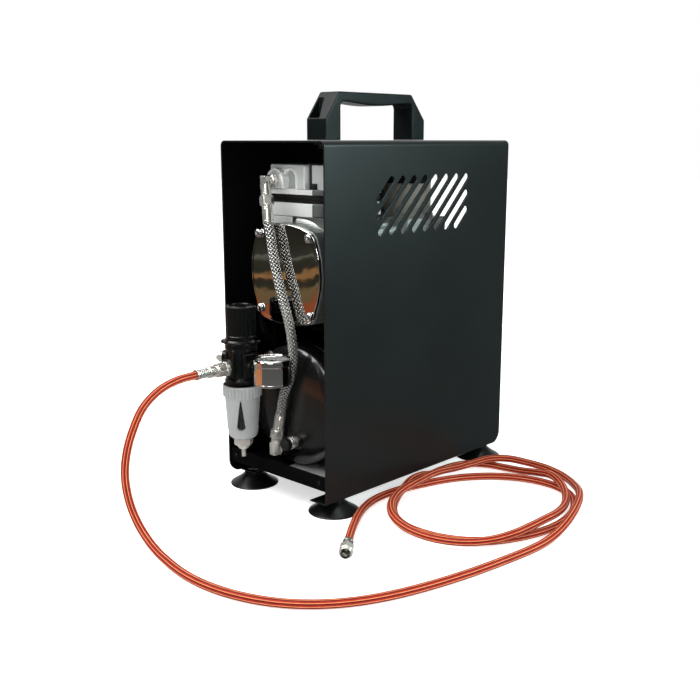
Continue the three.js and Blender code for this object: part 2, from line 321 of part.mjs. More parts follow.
// ---------------------------------------------------------------- regulator and moisture filter
{
  const at = (g) => g.translate(REG_X, REG_Y, 0);
  const core = turned([[0, 113.7], [15.8, 113.7], [15.8, 116.5], [13.6, 118.5], [13.6, 142], [15.2, 145], [15.2, 149.4], [0, 149.4]], 18);
  const port = (dir, r, len) => along(turned([[0, 0], [r, 0], [r, len - 1], [r - 1, len], [0, len]], 12), dir, [0, 0, PORT_Z]);
  const plugDir = [-0.866, -0.5, 0];
  let body = join(core, port('x', 8, 18), port('nx', 8, 16.5), port('y', 8.5, 16), port('ny', 8.5, 17.5),
    along(rod(6.4, 17.5, 14), plugDir, [0, 0, 136]), box(-15, 15, -9, 9, 118.5, 141.5));
  body = cut(body, rod(6.2, 30, 16).translate(0, 0, 134));
  add('regulator_body', at(body), BLACK_PLASTIC);
  add('port_plug', at(along(join(turned([[0, 0], [4.4, 0], [4.4, 3.4], [3.4, 4.4], [0, 4.4]], 18), hex(6.4, 6.2)), plugDir, [plugDir[0] * 17.8, plugDir[1] * 17.8, 136])), NICKEL);
  const yb = domeY(REG_X, PORT_Z) - BUNG;
  add('inlet_nipple', at(join(along(rod(5, yb - REG_Y - 16.3 - 0.3, 16), 'y', [0, 16.3, PORT_Z]), along(hex(13, 5.5), 'y', [0, 16.8, PORT_Z]))), NICKEL);
  // knurled adapter that the air hose screws on
  const knurl = Array.from({ length: 28 }, (_, i) => { const a = (i / 28) * 2 * Math.PI, r = i % 2 ? 5.9 : 6.4; return [r * Math.cos(a), r * Math.sin(a)]; });
  add('outlet_nipple', at(along(join(rod(6.9, 3.2, 20).translate(0, 0, 0), prism(knurl, 9.4).translate(0, 0, 3), rod(4.4, 16.2, 20)), 'ny', [0, -17.8, PORT_Z])), NICKEL);
  // knob, its screw and the lock ring
  add('lock_ring', at(join(turned([[10.6, 149.7], [17.2, 149.7], [17.2, 152.8], [15.6, 153.8], [10.6, 153.8], [10.6, 149.7]], 24), box(14.5, 18.4, -3, 3, 149.7, 152.6), box(-18.4, -14.5, -3, 3, 149.7, 152.6))), BLACK_PLASTIC);
  add('adjusting_spindle', at(join(rod(5.6, 40, 24).translate(0, 0, 137), turned([[0, 0], [8, 0], [8, 4], [0, 4]], 6).translate(0, 0, 160))), STEEL);
  const fl = [];
  const n = 14;
  for (let i = 0; i < n; i++) for (const [f, r] of [[-0.3, 14], [0.3, 14], [0.5, 13.1]]) { const a = ((i + f) / n) * 2 * Math.PI; fl.push([r * Math.cos(a), r * Math.sin(a)]); }
  const shell = join(prism(fl, 27, [], 0.8).translate(0, 0, 157.4), turned([[0, 154.1], [14.2, 154.1], [14.2, 157], [13.2, 158.2], [0, 158.2]], 24), turned([[0, 183], [11, 183], [10.4, 185.2], [0, 185.2]], 24));
  add('regulator_knob', at(cut(shell, rod(10.2, 26, 20).translate(0, 0, 153))), BLACK_PLASTIC);
  // bowl guard: ribbed collar, tapered sleeve with four tall windows
  const ribs = [];
  for (let i = 0; i < 16; i++) for (const [f, r] of [[-0.22, 18], [0.22, 18], [0.32, 17.3], [0.68, 17.3]]) { const a = ((i + f) / 16) * 2 * Math.PI; ribs.push([r * Math.cos(a), r * Math.sin(a)]); }
  const up = (g) => g.translate(REG_X, REG_Y, 3.7);   // the bowl and its guard are drawn 3.7 low
  const collar = prism(ribs, 10.6).translate(0, 0, 97);
  const sleeve = turned([[0, 97.5], [16, 97.5], [15.6, 92], [13.9, 62], [12.6, 58.2], [9.5, 56.4], [0, 56.4]], 20);
  const inside = turned([[0, 109.7], [14.4, 109.7], [14.4, 98], [12.2, 62.2], [11, 59.8], [7.2, 58.4], [7.2, 50], [0, 50]], 18);
  // drawn in (sideways, up): narrow at the top, rounded at the bottom
  const windowShape = [...arc(0, 69.6, 3.2, 200, 340, 6), [0.5, 94], [-0.5, 94]];
  const win = (deg) => prism(windowShape, 14).rotateX(Math.PI / 2).translate(0, -6, 0).rotateZ((deg * Math.PI) / 180);
  add('bowl_guard', up(cut(join(collar, sleeve), inside, win(43), win(133), win(223), win(313))), GREY_PLASTIC);
  add('filter_bowl', up(cut(turned([[0, 109.5], [14, 109.5], [14, 98.4], [11.8, 62.6], [10.6, 60.2], [6.8, 59], [6.8, 52.2], [0, 52.2]], 18),
    turned([[0, 112], [12, 112], [12, 98], [10, 64], [8.6, 62], [0, 62]], 18), rod(2.3, 16, 16).translate(0, 0, 50))), SMOKE);
  add('drain_nut', up(cut(join(hex(15.6, 7).translate(0, 0, 48.9), turned([[0, 45.2], [4, 45.2], [7, 49], [0, 49]], 24)), rod(7.15, 10, 24).translate(0, 0, 51.9), rod(2.7, 20, 16).translate(0, 0, 40))), NICKEL);
  add('drain_pin', up(join(rod(1.9, 27, 16).translate(0, 0, 37.2), rod(3.2, 2, 16).translate(0, 0, 63.2))), NICKEL);
}
{
  // gauge lying on its back with its dial up; the nipple runs back to the regulator
  const c = (g) => g.translate(GAUGE_X, REG_Y, 0);
  const stemLen = GAUGE_X - REG_X - 18.3 - (GAUGE_R - 1.2);
  const drum = turned([[0, 117.8], [GAUGE_R - 1.4, 117.8], [GAUGE_R - 0.3, 118.8], [GAUGE_R - 0.3, 136.2], [GAUGE_R, 136.8], [GAUGE_R, 141], [GAUGE_R - 0.8, 142], [GAUGE_R - 2.2, 141.4], [GAUGE_R - 2.2, 137.2], [0, 137.2]], 26);
  const stem = along(join(rod(4.2, stemLen + 2, 16), hex(9, 3.4)), 'x', [-(GAUGE_R - 1.2) - stemLen, 0, PORT_Z]);
  add('gauge_case', c(join(drum, stem)), MIRROR);
  add('gauge_dial', c(rod(14.7, 0.5, 28).translate(0, 0, 137.5)), DIAL);
  add('gauge_needle', c(join(rod(1.5, 0.9, 16).translate(0, 0, 138.3), box(-0.45, 0.45, -11, 4, 138.3, 138.9)).rotateZ(-Math.PI / 4)), GLOSS_BLACK);
  add('gauge_glass', c(rod(14.7, 1.2, 28).translate(0, 0, 139.6)), GLASS);
}

// ---------------------------------------------------------------- air hose
const HOSE_ROUTE = [
  [-30.0, -197.5, 128.5], [-30.0, -217.7, 127.3], [-30.0, -237.0, 121.7], [-30.0, -253.4, 110.2], [-30.0, -264.3, 93.2], [-30.0, -271.7, 74.5],
  [-28.8, -275.2, 54.5], [-23.4, -276.0, 35.2], [-12.4, -276.2, 19.2], [3.4, -277.4, 8.7], [22.1, -280.8, 4.3], [42.0, -285.4, 3.8],
  [62.0, -289.3, 3.8], [82.2, -291.1, 3.8], [102.4, -290.3, 3.8], [122.3, -286.7, 3.8], [141.5, -280.3, 3.8], [159.3, -271.1, 3.8],
  [175.3, -258.8, 3.8], [188.8, -244.0, 3.8], [199.9, -227.1, 3.8], [208.6, -208.9, 3.8], [215.5, -189.9, 3.8], [221.2, -170.4, 3.8],
  [225.9, -150.7, 3.8], [229.9, -130.9, 3.8], [233.1, -110.9, 3.8], [235.9, -90.9, 3.8], [238.2, -70.9, 3.8], [239.4, -51.0, 4.1],
  [238.7, -31.1, 5.6], [235.9, -11.2, 7.8], [231.3, 8.5, 10.3], [224.7, 27.9, 11.7], [216.2, 46.6, 11.8], [205.5, 64.1, 10.5],
  [192.2, 79.6, 8.2], [176.8, 93.1, 6.9], [159.4, 103.2, 6.5], [140.5, 107.6, 7.0], [121.7, 104.1, 8.7], [105.1, 93.7, 11.6],
  [92.0, 78.3, 11.9], [83.0, 60.2, 9.1], [78.1, 40.7, 8.4], [77.3, 20.8, 10.4], [80.0, 1.0, 12.8], [83.2, -19.1, 13.4],
  [86.8, -39.1, 14.0], [91.8, -58.7, 14.7], [99.5, -77.6, 15.1], [110.4, -94.6, 14.8], [125.0, -107.8, 13.4], [142.9, -114.9, 11.4],
  [162.2, -114.5, 9.2], [180.8, -107.4, 7.5], [197.2, -95.4, 7.1], [210.3, -79.9, 8.2], [219.0, -61.7, 10.6], [222.8, -41.8, 12.5],
  [222.8, -21.3, 12.4], [220.3, -1.1, 10.6], [215.5, 18.3, 9.0], [208.0, 36.8, 8.3], [197.4, 53.6, 9.4], [183.5, 67.8, 11.7],
  [166.6, 78.3, 12.6], [147.4, 84.5, 9.1], [127.1, 87.4, 5.3], [106.6, 87.3, 3.8], [87.6, 83.0, 3.8], [73.0, 72.5, 3.8],
  [65.1, 55.7, 3.8], [63.2, 35.8, 3.8], [67.2, 15.2, 5.8], [72.3, -5.0, 11.2], [75.0, -24.4, 12.2], [80.2, -43.3, 8.7],
  [88.5, -61.5, 6.7], [99.6, -78.4, 5.7], [114.0, -91.7, 4.6], [131.8, -99.5, 3.8], [151.6, -101.4, 3.8], [171.4, -97.9, 3.8],
  [189.3, -89.3, 3.8], [203.5, -75.8, 3.8], [213.9, -58.7, 3.8], [221.4, -39.8, 3.8], [225.7, -20.0, 3.8], [226.1, 0.2, 3.8],
  [222.6, 20.3, 3.8], [215.5, 39.3, 3.8], [204.6, 56.2, 3.8], [190.0, 69.3, 3.8], [172.0, 76.1, 3.8], [152.3, 76.5, 3.8],
  [133.1, 71.0, 3.8], [116.0, 60.4, 3.8], [101.7, 46.1, 3.8], [90.5, 29.4, 3.8], [82.3, 11.0, 3.8], [76.4, -8.3, 3.8],
  [71.3, -27.9, 3.8], [68.8, -47.9, 3.8], [69.8, -67.8, 4.1], [75.0, -87.1, 4.5], [83.5, -105.3, 5.0], [94.1, -122.6, 5.4],
  [105.7, -139.2, 5.9], [117.8, -155.5, 6.5], [124.0, -163.4, 7.0]];
{
  add('air_hose', tube(HOSE_ROUTE, HOSE_R, 80, 8), HOSE);
  const s = HOSE_ROUTE[0];
  add('hose_coupling_start', along((turned([[0, 0], [4.9, 0], [4.9, 2.4], [4.3, 3], [4.3, 13], [5.4, 14.2], [5.4, 18.9], [0, 18.9]], 20)), 'y', [s[0], s[1] + 0.3, s[2]]), NICKEL);
  const a = HOSE_ROUTE[HOSE_ROUTE.length - 2], b = HOSE_ROUTE[HOSE_ROUTE.length - 1];
  const d = V3([b[0] - a[0], b[1] - a[1], 0]).normalize(), dv = [d.x, d.y, 0];
  const p = (t) => [b[0] + d.x * t, b[1] + d.y * t, b[2]];
  add('hose_ferrule_end', along(turned([[0, 0], [4.5, 0], [4.5, 2.6], [3.9, 3.2], [3.9, 8], [4.6, 8.8], [4.6, 10.4], [3, 10.8], [3, 14.2], [1.6, 15], [0, 15]], 16), dv, p(0.3)), NICKEL);
  add('hose_end_nut', along(cut(join(hex(11.2, 9.5), turned([[0, 0], [5, 0], [5, 12.6], [0, 12.6]], 16)), rod(3.5, 6.4, 16).translate(0, 0, -1), rod(3.9, 12, 16).translate(0, 0, 5)), dv, p(11.4)), NICKEL);
}

export default group;
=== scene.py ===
import json, math
import bpy, bmesh
import numpy as np
from mathutils import Matrix, Vector


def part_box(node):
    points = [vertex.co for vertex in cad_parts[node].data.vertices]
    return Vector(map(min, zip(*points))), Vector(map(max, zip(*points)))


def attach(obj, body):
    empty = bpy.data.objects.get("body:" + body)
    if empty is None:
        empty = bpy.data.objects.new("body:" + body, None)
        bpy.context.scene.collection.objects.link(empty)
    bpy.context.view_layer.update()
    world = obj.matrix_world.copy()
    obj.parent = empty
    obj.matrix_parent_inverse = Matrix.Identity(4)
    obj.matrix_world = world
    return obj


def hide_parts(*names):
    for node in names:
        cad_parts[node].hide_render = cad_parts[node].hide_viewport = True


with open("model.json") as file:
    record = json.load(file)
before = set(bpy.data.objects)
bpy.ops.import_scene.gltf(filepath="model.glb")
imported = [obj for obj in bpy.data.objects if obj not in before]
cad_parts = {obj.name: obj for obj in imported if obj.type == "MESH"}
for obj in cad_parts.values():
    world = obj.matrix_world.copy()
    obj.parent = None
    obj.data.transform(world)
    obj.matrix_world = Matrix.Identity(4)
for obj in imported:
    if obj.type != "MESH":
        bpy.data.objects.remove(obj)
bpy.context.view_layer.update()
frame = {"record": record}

# Airbrush compressor. Shapes are drawn in millimetres with y = 0 at the middle of the case, as the CAD source draws them,
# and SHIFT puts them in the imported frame.
_lo, _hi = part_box("casing")
SHIFT = (_lo.y + _hi.y) / 2 * 1000
BODY_OF = {n: b for b, ns in frame["record"]["behaviour"]["bodies"].items() for n in ns}
SCENE = bpy.context.scene
PI = math.pi

# ------------------------------------------------------------------ camera
cam_data = bpy.data.cameras.new("camera")
cam = bpy.data.objects.new("camera", cam_data)
SCENE.collection.objects.link(cam)
cam_data.lens, cam_data.sensor_width = 49.9, 36
cam.location = (0.6422, -0.68415, 0.3328)
cam.rotation_mode = "QUATERNION"
cam.rotation_quaternion = Vector((-0.673, 0.708, -0.213)).to_track_quat("-Z", "Y")
cam_data.clip_start, cam_data.clip_end = 0.01, 60
SCENE.camera = cam


# ------------------------------------------------------------------ shape tools, in millimetres
def geo(v, f, uv=None, m=0):
    f = [tuple(int(i) for i in x) for x in f]
    return {"v": np.array(v, float).reshape(-1, 3), "f": f, "uv": uv, "m": [m] * len(f)}


def mat_index(g, m):
    g["m"] = [m] * len(g["f"])
    return g


def joined(*gs):
    v, f, m, uv, n = [], [], [], [], 0
    any_uv = any(g["uv"] for g in gs)
    for g in gs:
        v.append(g["v"])
        f += [tuple(i + n for i in x) for x in g["f"]]
        m += g["m"]
        if any_uv:
            uv += g["uv"] or [[(0.0, 0.0)] * len(x) for x in g["f"]]
        n += len(g["v"])
    return {"v": np.concatenate(v), "f": f, "m": m, "uv": uv if any_uv else None}


def moved(g, x=0.0, y=0.0, z=0.0):
    return {**g, "v": g["v"] + np.array((x, y, z), float)}


def turned_by(g, axis, degrees):
    r = np.array(Matrix.Rotation(math.radians(degrees), 3, axis))
    return {**g, "v": g["v"] @ r.T}


DIRS = {"x": (1, 0, 0), "y": (0, 1, 0), "z": (0, 0, 1), "nx": (-1, 0, 0), "ny": (0, -1, 0), "nz": (0, 0, -1)}


def along(g, d, pos=(0, 0, 0)):
    """Turns a shape made along +Z so that it points along d, and puts its origin at pos."""
    d = Vector(DIRS[d] if isinstance(d, str) else d).normalized()
    z = Vector((0, 0, 1))
    q = z.rotation_difference(d) if (d + z).length > 1e-6 else Matrix.Rotation(PI, 3, "X").to_quaternion()
    r = np.array(q.to_matrix())
    return {**g, "v": g["v"] @ r.T + np.array(pos, float)}


def soften(pts, r, steps=3, closed=False):
    """Rounds each corner of a polyline by r where its neighbours leave room."""
    if r <= 0:
        return [tuple(p) for p in pts]
    out, n = [], len(pts)
    for i, p in enumerate(pts):
        if not closed and i in (0, n - 1):
            out.append(tuple(p))
            continue
        a, p, b = (np.array(pts[(i - 1) % n], float), np.array(p, float), np.array(pts[(i + 1) % n], float))
        u, w = a - p, b - p
        lu, lw = np.linalg.norm(u), np.linalg.norm(w)
        if lu < 1e-6 or lw < 1e-6:
            continue
        cosang = np.clip(np.dot(u, w) / lu / lw, -1, 1)
        if cosang < -0.985:
            out.append(tuple(p))
            continue
        t = min(r / max(math.tan(math.acos(cosang) / 2), 1e-3), 0.45 * lu, 0.45 * lw)
        s, e = p + u / lu * t, p + w / lw * t
        for k in range(steps + 1):
            q = k / steps
            out.append(tuple((1 - q) ** 2 * s + 2 * q * (1 - q) * p + q * q * e))
    return out


def lathe(profile, seg=48, r=0.25, steps=2, closed=False):
    """A turned shape: profile is (radius, height) pairs, from the bottom up round the outside."""
    pts = soften(profile, r, steps, closed)
    v, f, rings = [], [], []
    for rad, z in pts:
        if rad < 1e-6:
            rings.append([len(v)])
            v.append((0, 0, z))
        else:
            rings.append(list(range(len(v), len(v) + seg)))
            v += [(rad * math.cos(2 * PI * k / seg), rad * math.sin(2 * PI * k / seg), z) for k in range(seg)]
    pairs = list(zip(rings, rings[1:])) + ([(rings[-1], rings[0])] if closed else [])
    for a, b in pairs:
        for k in range(seg):
            j = (k + 1) % seg
            if len(a) == 1 and len(b) == 1:
                break
            if len(a) == 1:
                f.append((a[0], b[j], b[k]))
            elif len(b) == 1:
                f.append((a[k], a[j], b[0]))
            else:
                f.append((a[k], a[j], b[j], b[k]))
    return geo(v, f)


def rod(rad, length, seg=40, r=0.3):
    return lathe([(0, 0), (rad, 0), (rad, length), (0, length)], seg, r)


def ring(ro, ri, length, seg=48, r=0.25):
    return lathe([(ri, 0), (ro, 0), (ro, length), (ri, length)], seg, r, 2, True)


def from_object(ob):
    dg = bpy.context.evaluated_depsgraph_get()
    me = bpy.data.meshes.new_from_object(ob.evaluated_get(dg))
    bm = bmesh.new()
    bm.from_mesh(me)
    bmesh.ops.remove_doubles(bm, verts=bm.verts, dist=1e-4)
    bmesh.ops.dissolve_degenerate(bm, edges=bm.edges, dist=1e-5)
    bm.verts.ensure_lookup_table()
    v = [tuple(x.co) for x in bm.verts]
    bm.verts.index_update()
    f = [tuple(x.index for x in p.verts) for p in bm.faces]
    bm.free()
    bpy.data.meshes.remove(me)
    return geo(v, f)


def plate(outline, depth, holes=(), bevel=0.0, res=2):
    """A flat shape of that depth along +Z with its edges rounded by bevel."""
    cu = bpy.data.curves.new("shape", "CURVE")
    cu.dimensions, cu.fill_mode = "2D", "BOTH"
    cu.extrude, cu.bevel_depth, cu.bevel_resolution, cu.offset = depth / 2 - bevel, bevel, res, -bevel
    for loop in [outline, *holes]:
        sp = cu.splines.new("POLY")
        sp.points.add(len(loop) - 1)
        for p, (x, y) in zip(sp.points, loop):
            p.co = (x, y, 0, 1)
        sp.use_cyclic_u = True
    ob = bpy.data.objects.new("shape", cu)
    SCENE.collection.objects.link(ob)
    g = from_object(ob)
    bpy.data.objects.remove(ob)
    bpy.data.curves.remove(cu)
    return moved(g, z=depth / 2)


def xz(outline, y0, y1, holes=(), bevel=0.0, res=2):
    """plate drawn in (x, z), from y0 to y1."""
    g = plate(outline, y1 - y0, holes, bevel, res)
    v = g["v"]
    return {**g, "v": np.stack([v[:, 0], y0 + v[:, 2], v[:, 1]], 1)}


def yz(outline, x0, x1, holes=(), bevel=0.0, res=2):
    """plate drawn in (y, z), from x0 to x1."""
    g = plate(outline, x1 - x0, holes, bevel, res)
    v = g["v"]
    return {**g, "v": np.stack([x0 + v[:, 2], v[:, 0], v[:, 1]], 1)}


def block(x0, x1, y0, y1, z0, z1, bevel=0.4, corner=0.6):
    c = rounded(x1 - x0, y1 - y0, min(corner, (x1 - x0) / 2.2, (y1 - y0) / 2.2), 4)
    return moved(plate(c, z1 - z0, (), min(bevel, (z1 - z0) / 2.2)), (x0 + x1) / 2, (y0 + y1) / 2, z0)


def arc(cx, cy, r, a0, a1, n):
    return [(cx + r * math.cos(math.radians(a0 + (a1 - a0) * i / n)), cy + r * math.sin(math.radians(a0 + (a1 - a0) * i / n))) for i in range(n + 1)]


def rounded(w, h, r, n=6):
    return arc(w / 2 - r, h / 2 - r, r, 0, 90, n) + arc(-w / 2 + r, h / 2 - r, r, 90, 180, n) + arc(-w / 2 + r, -h / 2 + r, r, 180, 270, n) + arc(w / 2 - r, -h / 2 + r, r, 270, 360, n)


def circle(r, n, cx=0.0, cy=0.0):
    return [(cx + r * math.cos(2 * PI * i / n), cy + r * math.sin(2 * PI * i / n)) for i in range(n)]


def hex_nut(af, length, bore=0.0, chamfer=0.8, seg=72):
    """A hexagon with turned chamfers at both ends, made as rings so that its faces meet the cones cleanly."""
    rmax = af / math.sqrt(3)
    rows = [(0.0, af / 2 * 0.97), (chamfer, 9e9), (length - chamfer, 9e9), (length, af / 2 * 0.97)]
    zs = [0, 0.0001, chamfer * 0.5, chamfer, length - chamfer, length - chamfer * 0.5, length - 0.0001, length]
    v, f = [], []
    def edge(a, z):
        a = (a % (PI / 3)) - PI / 6
        flat = af / 2 / math.cos(a)
        d = min(z, length - z)
        cone = af / 2 * 0.965 + max(0.0, d) / chamfer * (rmax - af / 2 * 0.965) if d < chamfer else 9e9
        return min(flat, cone, rmax * 0.985)
    for z in zs:
        for k in range(seg):
            a = 2 * PI * k / seg
            q = edge(a, z)
            v.append((q * math.cos(a), q * math.sin(a), z))
    for i in range(len(zs) - 1):
        for k in range(seg):
            j = (k + 1) % seg
            f.append((i * seg + k, i * seg + j, (i + 1) * seg + j, (i + 1) * seg + k))
    f.append(tuple(reversed(range(seg))))
    f.append(tuple(range((len(zs) - 1) * seg, len(zs) * seg)))
    return geo(v, f)


def catmull(points, count):
    """Centripetal Catmull-Rom through the points, resampled to count even steps."""
    P = [np.array(p, float) for p in points]
    P = [2 * P[0] - P[1]] + P + [2 * P[-1] - P[-2]]
    out = []
    for i in range(1, len(P) - 2):
        p0, p1, p2, p3 = P[i - 1 : i + 3]
        d = [max(1e-4, float(np.dot(b - a, b - a)) ** 0.25) for a, b in ((p0, p1), (p1, p2), (p2, p3))]
        t1 = ((p1 - p0) / d[0] - (p2 - p0) / (d[0] + d[1]) + (p2 - p1) / d[1]) * d[1]
        t2 = ((p2 - p1) / d[1] - (p3 - p1) / (d[1] + d[2]) + (p3 - p2) / d[2]) * d[1]
        for k in range(16):
            t = k / 16
            out.append(p1 + t1 * t + (-3 * p1 + 3 * p2 - 2 * t1 - t2) * t * t + (2 * p1 - 2 * p2 + t1 + t2) * t**3)
    out.append(P[-2])
    out = np.array(out)
    s = np.concatenate([[0], np.cumsum(np.linalg.norm(np.diff(out, axis=0), axis=1))])
    q = np.linspace(0, s[-1], count + 1)
    return np.stack([np.interp(q, s, out[:, i]) for i in range(3)], 1), s[-1]


def sweep(path, radius, sides, caps=True, profile=None):
    """A tube along path with u round it and v the length along it in metres. radius may be one number or one for each point."""
    path = np.array(path, float)
    n = len(path)
    rad = np.full(n, float(radius)) if np.isscalar(radius) else np.array(radius, float)
    tan = np.gradient(path, axis=0)
    tan /= np.linalg.norm(tan, axis=1)[:, None]
    up = np.cross(tan[0], (0, 0, 1.0))
    if np.linalg.norm(up) < 1e-3:
        up = np.array((1.0, 0, 0))
    up /= np.linalg.norm(up)
    s = np.concatenate([[0], np.cumsum(np.linalg.norm(np.diff(path, axis=0), axis=1))]) / 1000
    v, f, uv = [], [], []
    for i in range(n):
        up = up - tan[i] * np.dot(up, tan[i])
        up /= np.linalg.norm(up)
        side = np.cross(tan[i], up)
        for k in range(sides):
            a = 2 * PI * k / sides
            q = rad[i] * (profile(k / sides, s[i]) if profile else 1.0)
            v.append(path[i] + q * (math.cos(a) * up + math.sin(a) * side))
    for i in range(n - 1):
        for k in range(sides):
            j = (k + 1) % sides
            f.append((i * sides + k, i * sides + j, (i + 1) * sides + j, (i + 1) * sides + k))
            uv.append([(k / sides, s[i]), ((k + 1) / sides, s[i]), ((k + 1) / sides, s[i + 1]), (k / sides, s[i + 1])])
    if caps:
        f.append(tuple(reversed(range(sides))))
        uv.append([(0.0, 0.0)] * sides)
        f.append(tuple(range((n - 1) * sides, n * sides)))
        uv.append([(0.0, 0.0)] * sides)
    return geo(v, f, uv)


def temp(g):
    me = bpy.data.meshes.new("shape")
    me.from_pydata([tuple(x) for x in g["v"]], [], g["f"])
    bm = bmesh.new()
    bm.from_mesh(me)
    bmesh.ops.recalc_face_normals(bm, faces=bm.faces)
    bm.to_mesh(me)
    bm.free()
    ob = bpy.data.objects.new("shape", me)
    SCENE.collection.objects.link(ob)
    return ob


def carve(g, *tools, op="DIFFERENCE"):
    a, cutters = temp(g), [temp(t) for t in tools]
    for c in cutters:
        m = a.modifiers.new("b", "BOOLEAN")
        m.operation, m.object, m.solver = op, c, "EXACT"
    bpy.context.view_layer.update()
    out = from_object(a)
    for o in [a, *cutters]:
        me = o.data
        bpy.data.objects.remove(o)
        bpy.data.meshes.remove(me)
    return out


def paint(g, m, test):
    """Gives material m to the faces whose middle passes the test."""
    mids = [g["v"][list(f)].mean(0) for f in g["f"]]
    return {**g, "m": [m if test(*c) else old for c, old in zip(mids, g["m"])]}


def make(name, g, mats, nodes=(), body=None, sharp=32, bevel=0.0, weighted=True, segments=2):
    """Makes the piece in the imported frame, rides it on its nodes' body and lets it stand for them."""
    nodes = [nodes] if isinstance(nodes, str) else list(nodes)
    mats = mats if isinstance(mats, (list, tuple)) else [mats]
    me = bpy.data.meshes.new(name)
    v = g["v"] * 0.001
    v[:, 1] += SHIFT * 0.001
    me.from_pydata([tuple(x) for x in v], [], g["f"])
    if g["uv"]:
        layer = me.uv_layers.new(name="Wrap")
        layer.data.foreach_set("uv", [c for face in g["uv"] for p in face for c in p])
    me.polygons.foreach_set("material_index", g["m"])
    for m in mats:
        me.materials.append(m)
    bm = bmesh.new()
    bm.from_mesh(me)
    bmesh.ops.recalc_face_normals(bm, faces=bm.faces)
    bm.to_mesh(me)
    bm.free()
    me.shade_smooth()
    me.set_sharp_from_angle(angle=math.radians(sharp))
    ob = bpy.data.objects.new(name, me)
    SCENE.collection.objects.link(ob)
    if bevel:
        b = ob.modifiers.new("edges", "BEVEL")
        b.width, b.segments, b.limit_method, b.angle_limit = bevel * 0.001, segments, "ANGLE", math.radians(28)
        b.use_clamp_overlap = True
    if weighted:
        w = ob.modifiers.new("normals", "WEIGHTED_NORMAL")
        w.keep_sharp, w.weight = True, 50
    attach(ob, body or BODY_OF[nodes[0]])
    if nodes:
        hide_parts(*nodes)
    return ob


# ------------------------------------------------------------------ materials
class Mat:
    """One procedural material. Constant values go straight on the shader; patterns come through nodes from object or wrap coordinates."""

    def __init__(self, name, **consts):
        self.m = bpy.data.materials.new(name)
        self.m.use_nodes = True
        self.nt = self.m.node_tree
        self.nt.nodes.clear()
        out = self.add("ShaderNodeOutputMaterial")
        self.b = self.add("ShaderNodeBsdfPrincipled")
        self.nt.links.new(self.b.outputs[0], out.inputs["Surface"])
        for k, v in consts.items():
            self.b.inputs[k.replace("_", " ")].default_value = v
        tc = self.add("ShaderNodeTexCoord")
        self.obj = tc.outputs["Object"]
        self.normal = None

    def add(self, kind, **settings):
        n = self.nt.nodes.new(kind)
        for k, v in settings.items():
            setattr(n, k, v)
        return n

    def put(self, socket, value):
        if isinstance(value, bpy.types.NodeSocket):
            self.nt.links.new(value, socket)
        else:
            socket.default_value = value

    def wrap(self):
        """u round the tube and v along it in metres, as two sockets."""
        n = self.add("ShaderNodeUVMap", uv_map="Wrap")
        s = self.add("ShaderNodeSeparateXYZ")
        self.put(s.inputs[0], n.outputs[0])
        return s.outputs[0], s.outputs[1]

    def noise(self, scale, detail=2.0, rough=0.5, vec=None, stretch=None):
        vec = vec or self.obj
        if stretch:
            mp = self.add("ShaderNodeMapping")
            self.put(mp.inputs["Vector"], vec)
            mp.inputs["Scale"].default_value = stretch
            vec = mp.outputs[0]
        n = self.add("ShaderNodeTexNoise")
        self.put(n.inputs["Vector"], vec)
        n.inputs["Scale"].default_value = scale
        n.inputs["Detail"].default_value = detail
        n.inputs["Roughness"].default_value = rough
        return n.outputs[0]

    def cells(self, scale, feature="F1"):
        n = self.add("ShaderNodeTexVoronoi", feature=feature)
        self.put(n.inputs["Vector"], self.obj)
        n.inputs["Scale"].default_value = scale
        return n.outputs["Distance"]

    def math(self, op, a, b=0.0, c=None):
        n = self.add("ShaderNodeMath", operation=op)
        self.put(n.inputs[0], a)
        self.put(n.inputs[1], b)
        if c is not None:
            self.put(n.inputs[2], c)
        return n.outputs[0]

    def span(self, fac, a, b, lo, hi):
        n = self.add("ShaderNodeMapRange")
        for i, x in enumerate((fac, a, b, lo, hi)):
            self.put(n.inputs[i], x)
        return n.outputs[0]

    def ramp(self, fac, stops, mode="LINEAR"):
        n = self.add("ShaderNodeValToRGB")
        n.color_ramp.interpolation = mode
        els = n.color_ramp.elements
        while len(els) > 1:
            els.remove(els[-1])
        for i, (p, c) in enumerate(stops):
            e = els[0] if i == 0 else els.new(p)
            e.position, e.color = p, (*c, 1) if len(c) == 3 else c
        self.put(n.inputs[0], fac)
        return n.outputs[0]

    def mix(self, fac, a, b, mode="MIX"):
        n = self.add("ShaderNodeMix", data_type="RGBA", blend_type=mode)
        self.put(n.inputs[0], fac)
        self.put(n.inputs[6], a if isinstance(a, bpy.types.NodeSocket) else (*a, 1))
        self.put(n.inputs[7], b if isinstance(b, bpy.types.NodeSocket) else (*b, 1))
        return n.outputs[2]

    def bump(self, height, mm, strength=1.0):
        n = self.add("ShaderNodeBump")
        n.inputs["Strength"].default_value = strength
        n.inputs["Distance"].default_value = mm * 0.001
        self.put(n.inputs["Height"], height)
        if self.normal:
            self.put(n.inputs["Normal"], self.normal)
        self.normal = n.outputs[0]
        self.put(self.b.inputs["Normal"], self.normal)
        return self

    def round_edges(self, mm):
        n = self.add("ShaderNodeBevel")
        n.samples = 4
        n.inputs["Radius"].default_value = mm * 0.001
        self.normal = n.outputs[0]
        self.put(self.b.inputs["Normal"], self.normal)
        return self

    def colour(self, value):
        self.put(self.b.inputs["Base Color"], value)
        return self

    def rough(self, value):
        self.put(self.b.inputs["Roughness"], value)
        return self


def grey(x, warm=0.0, cool=0.0):
    return (x * (1 + warm), x, x * (1 - warm + cool))


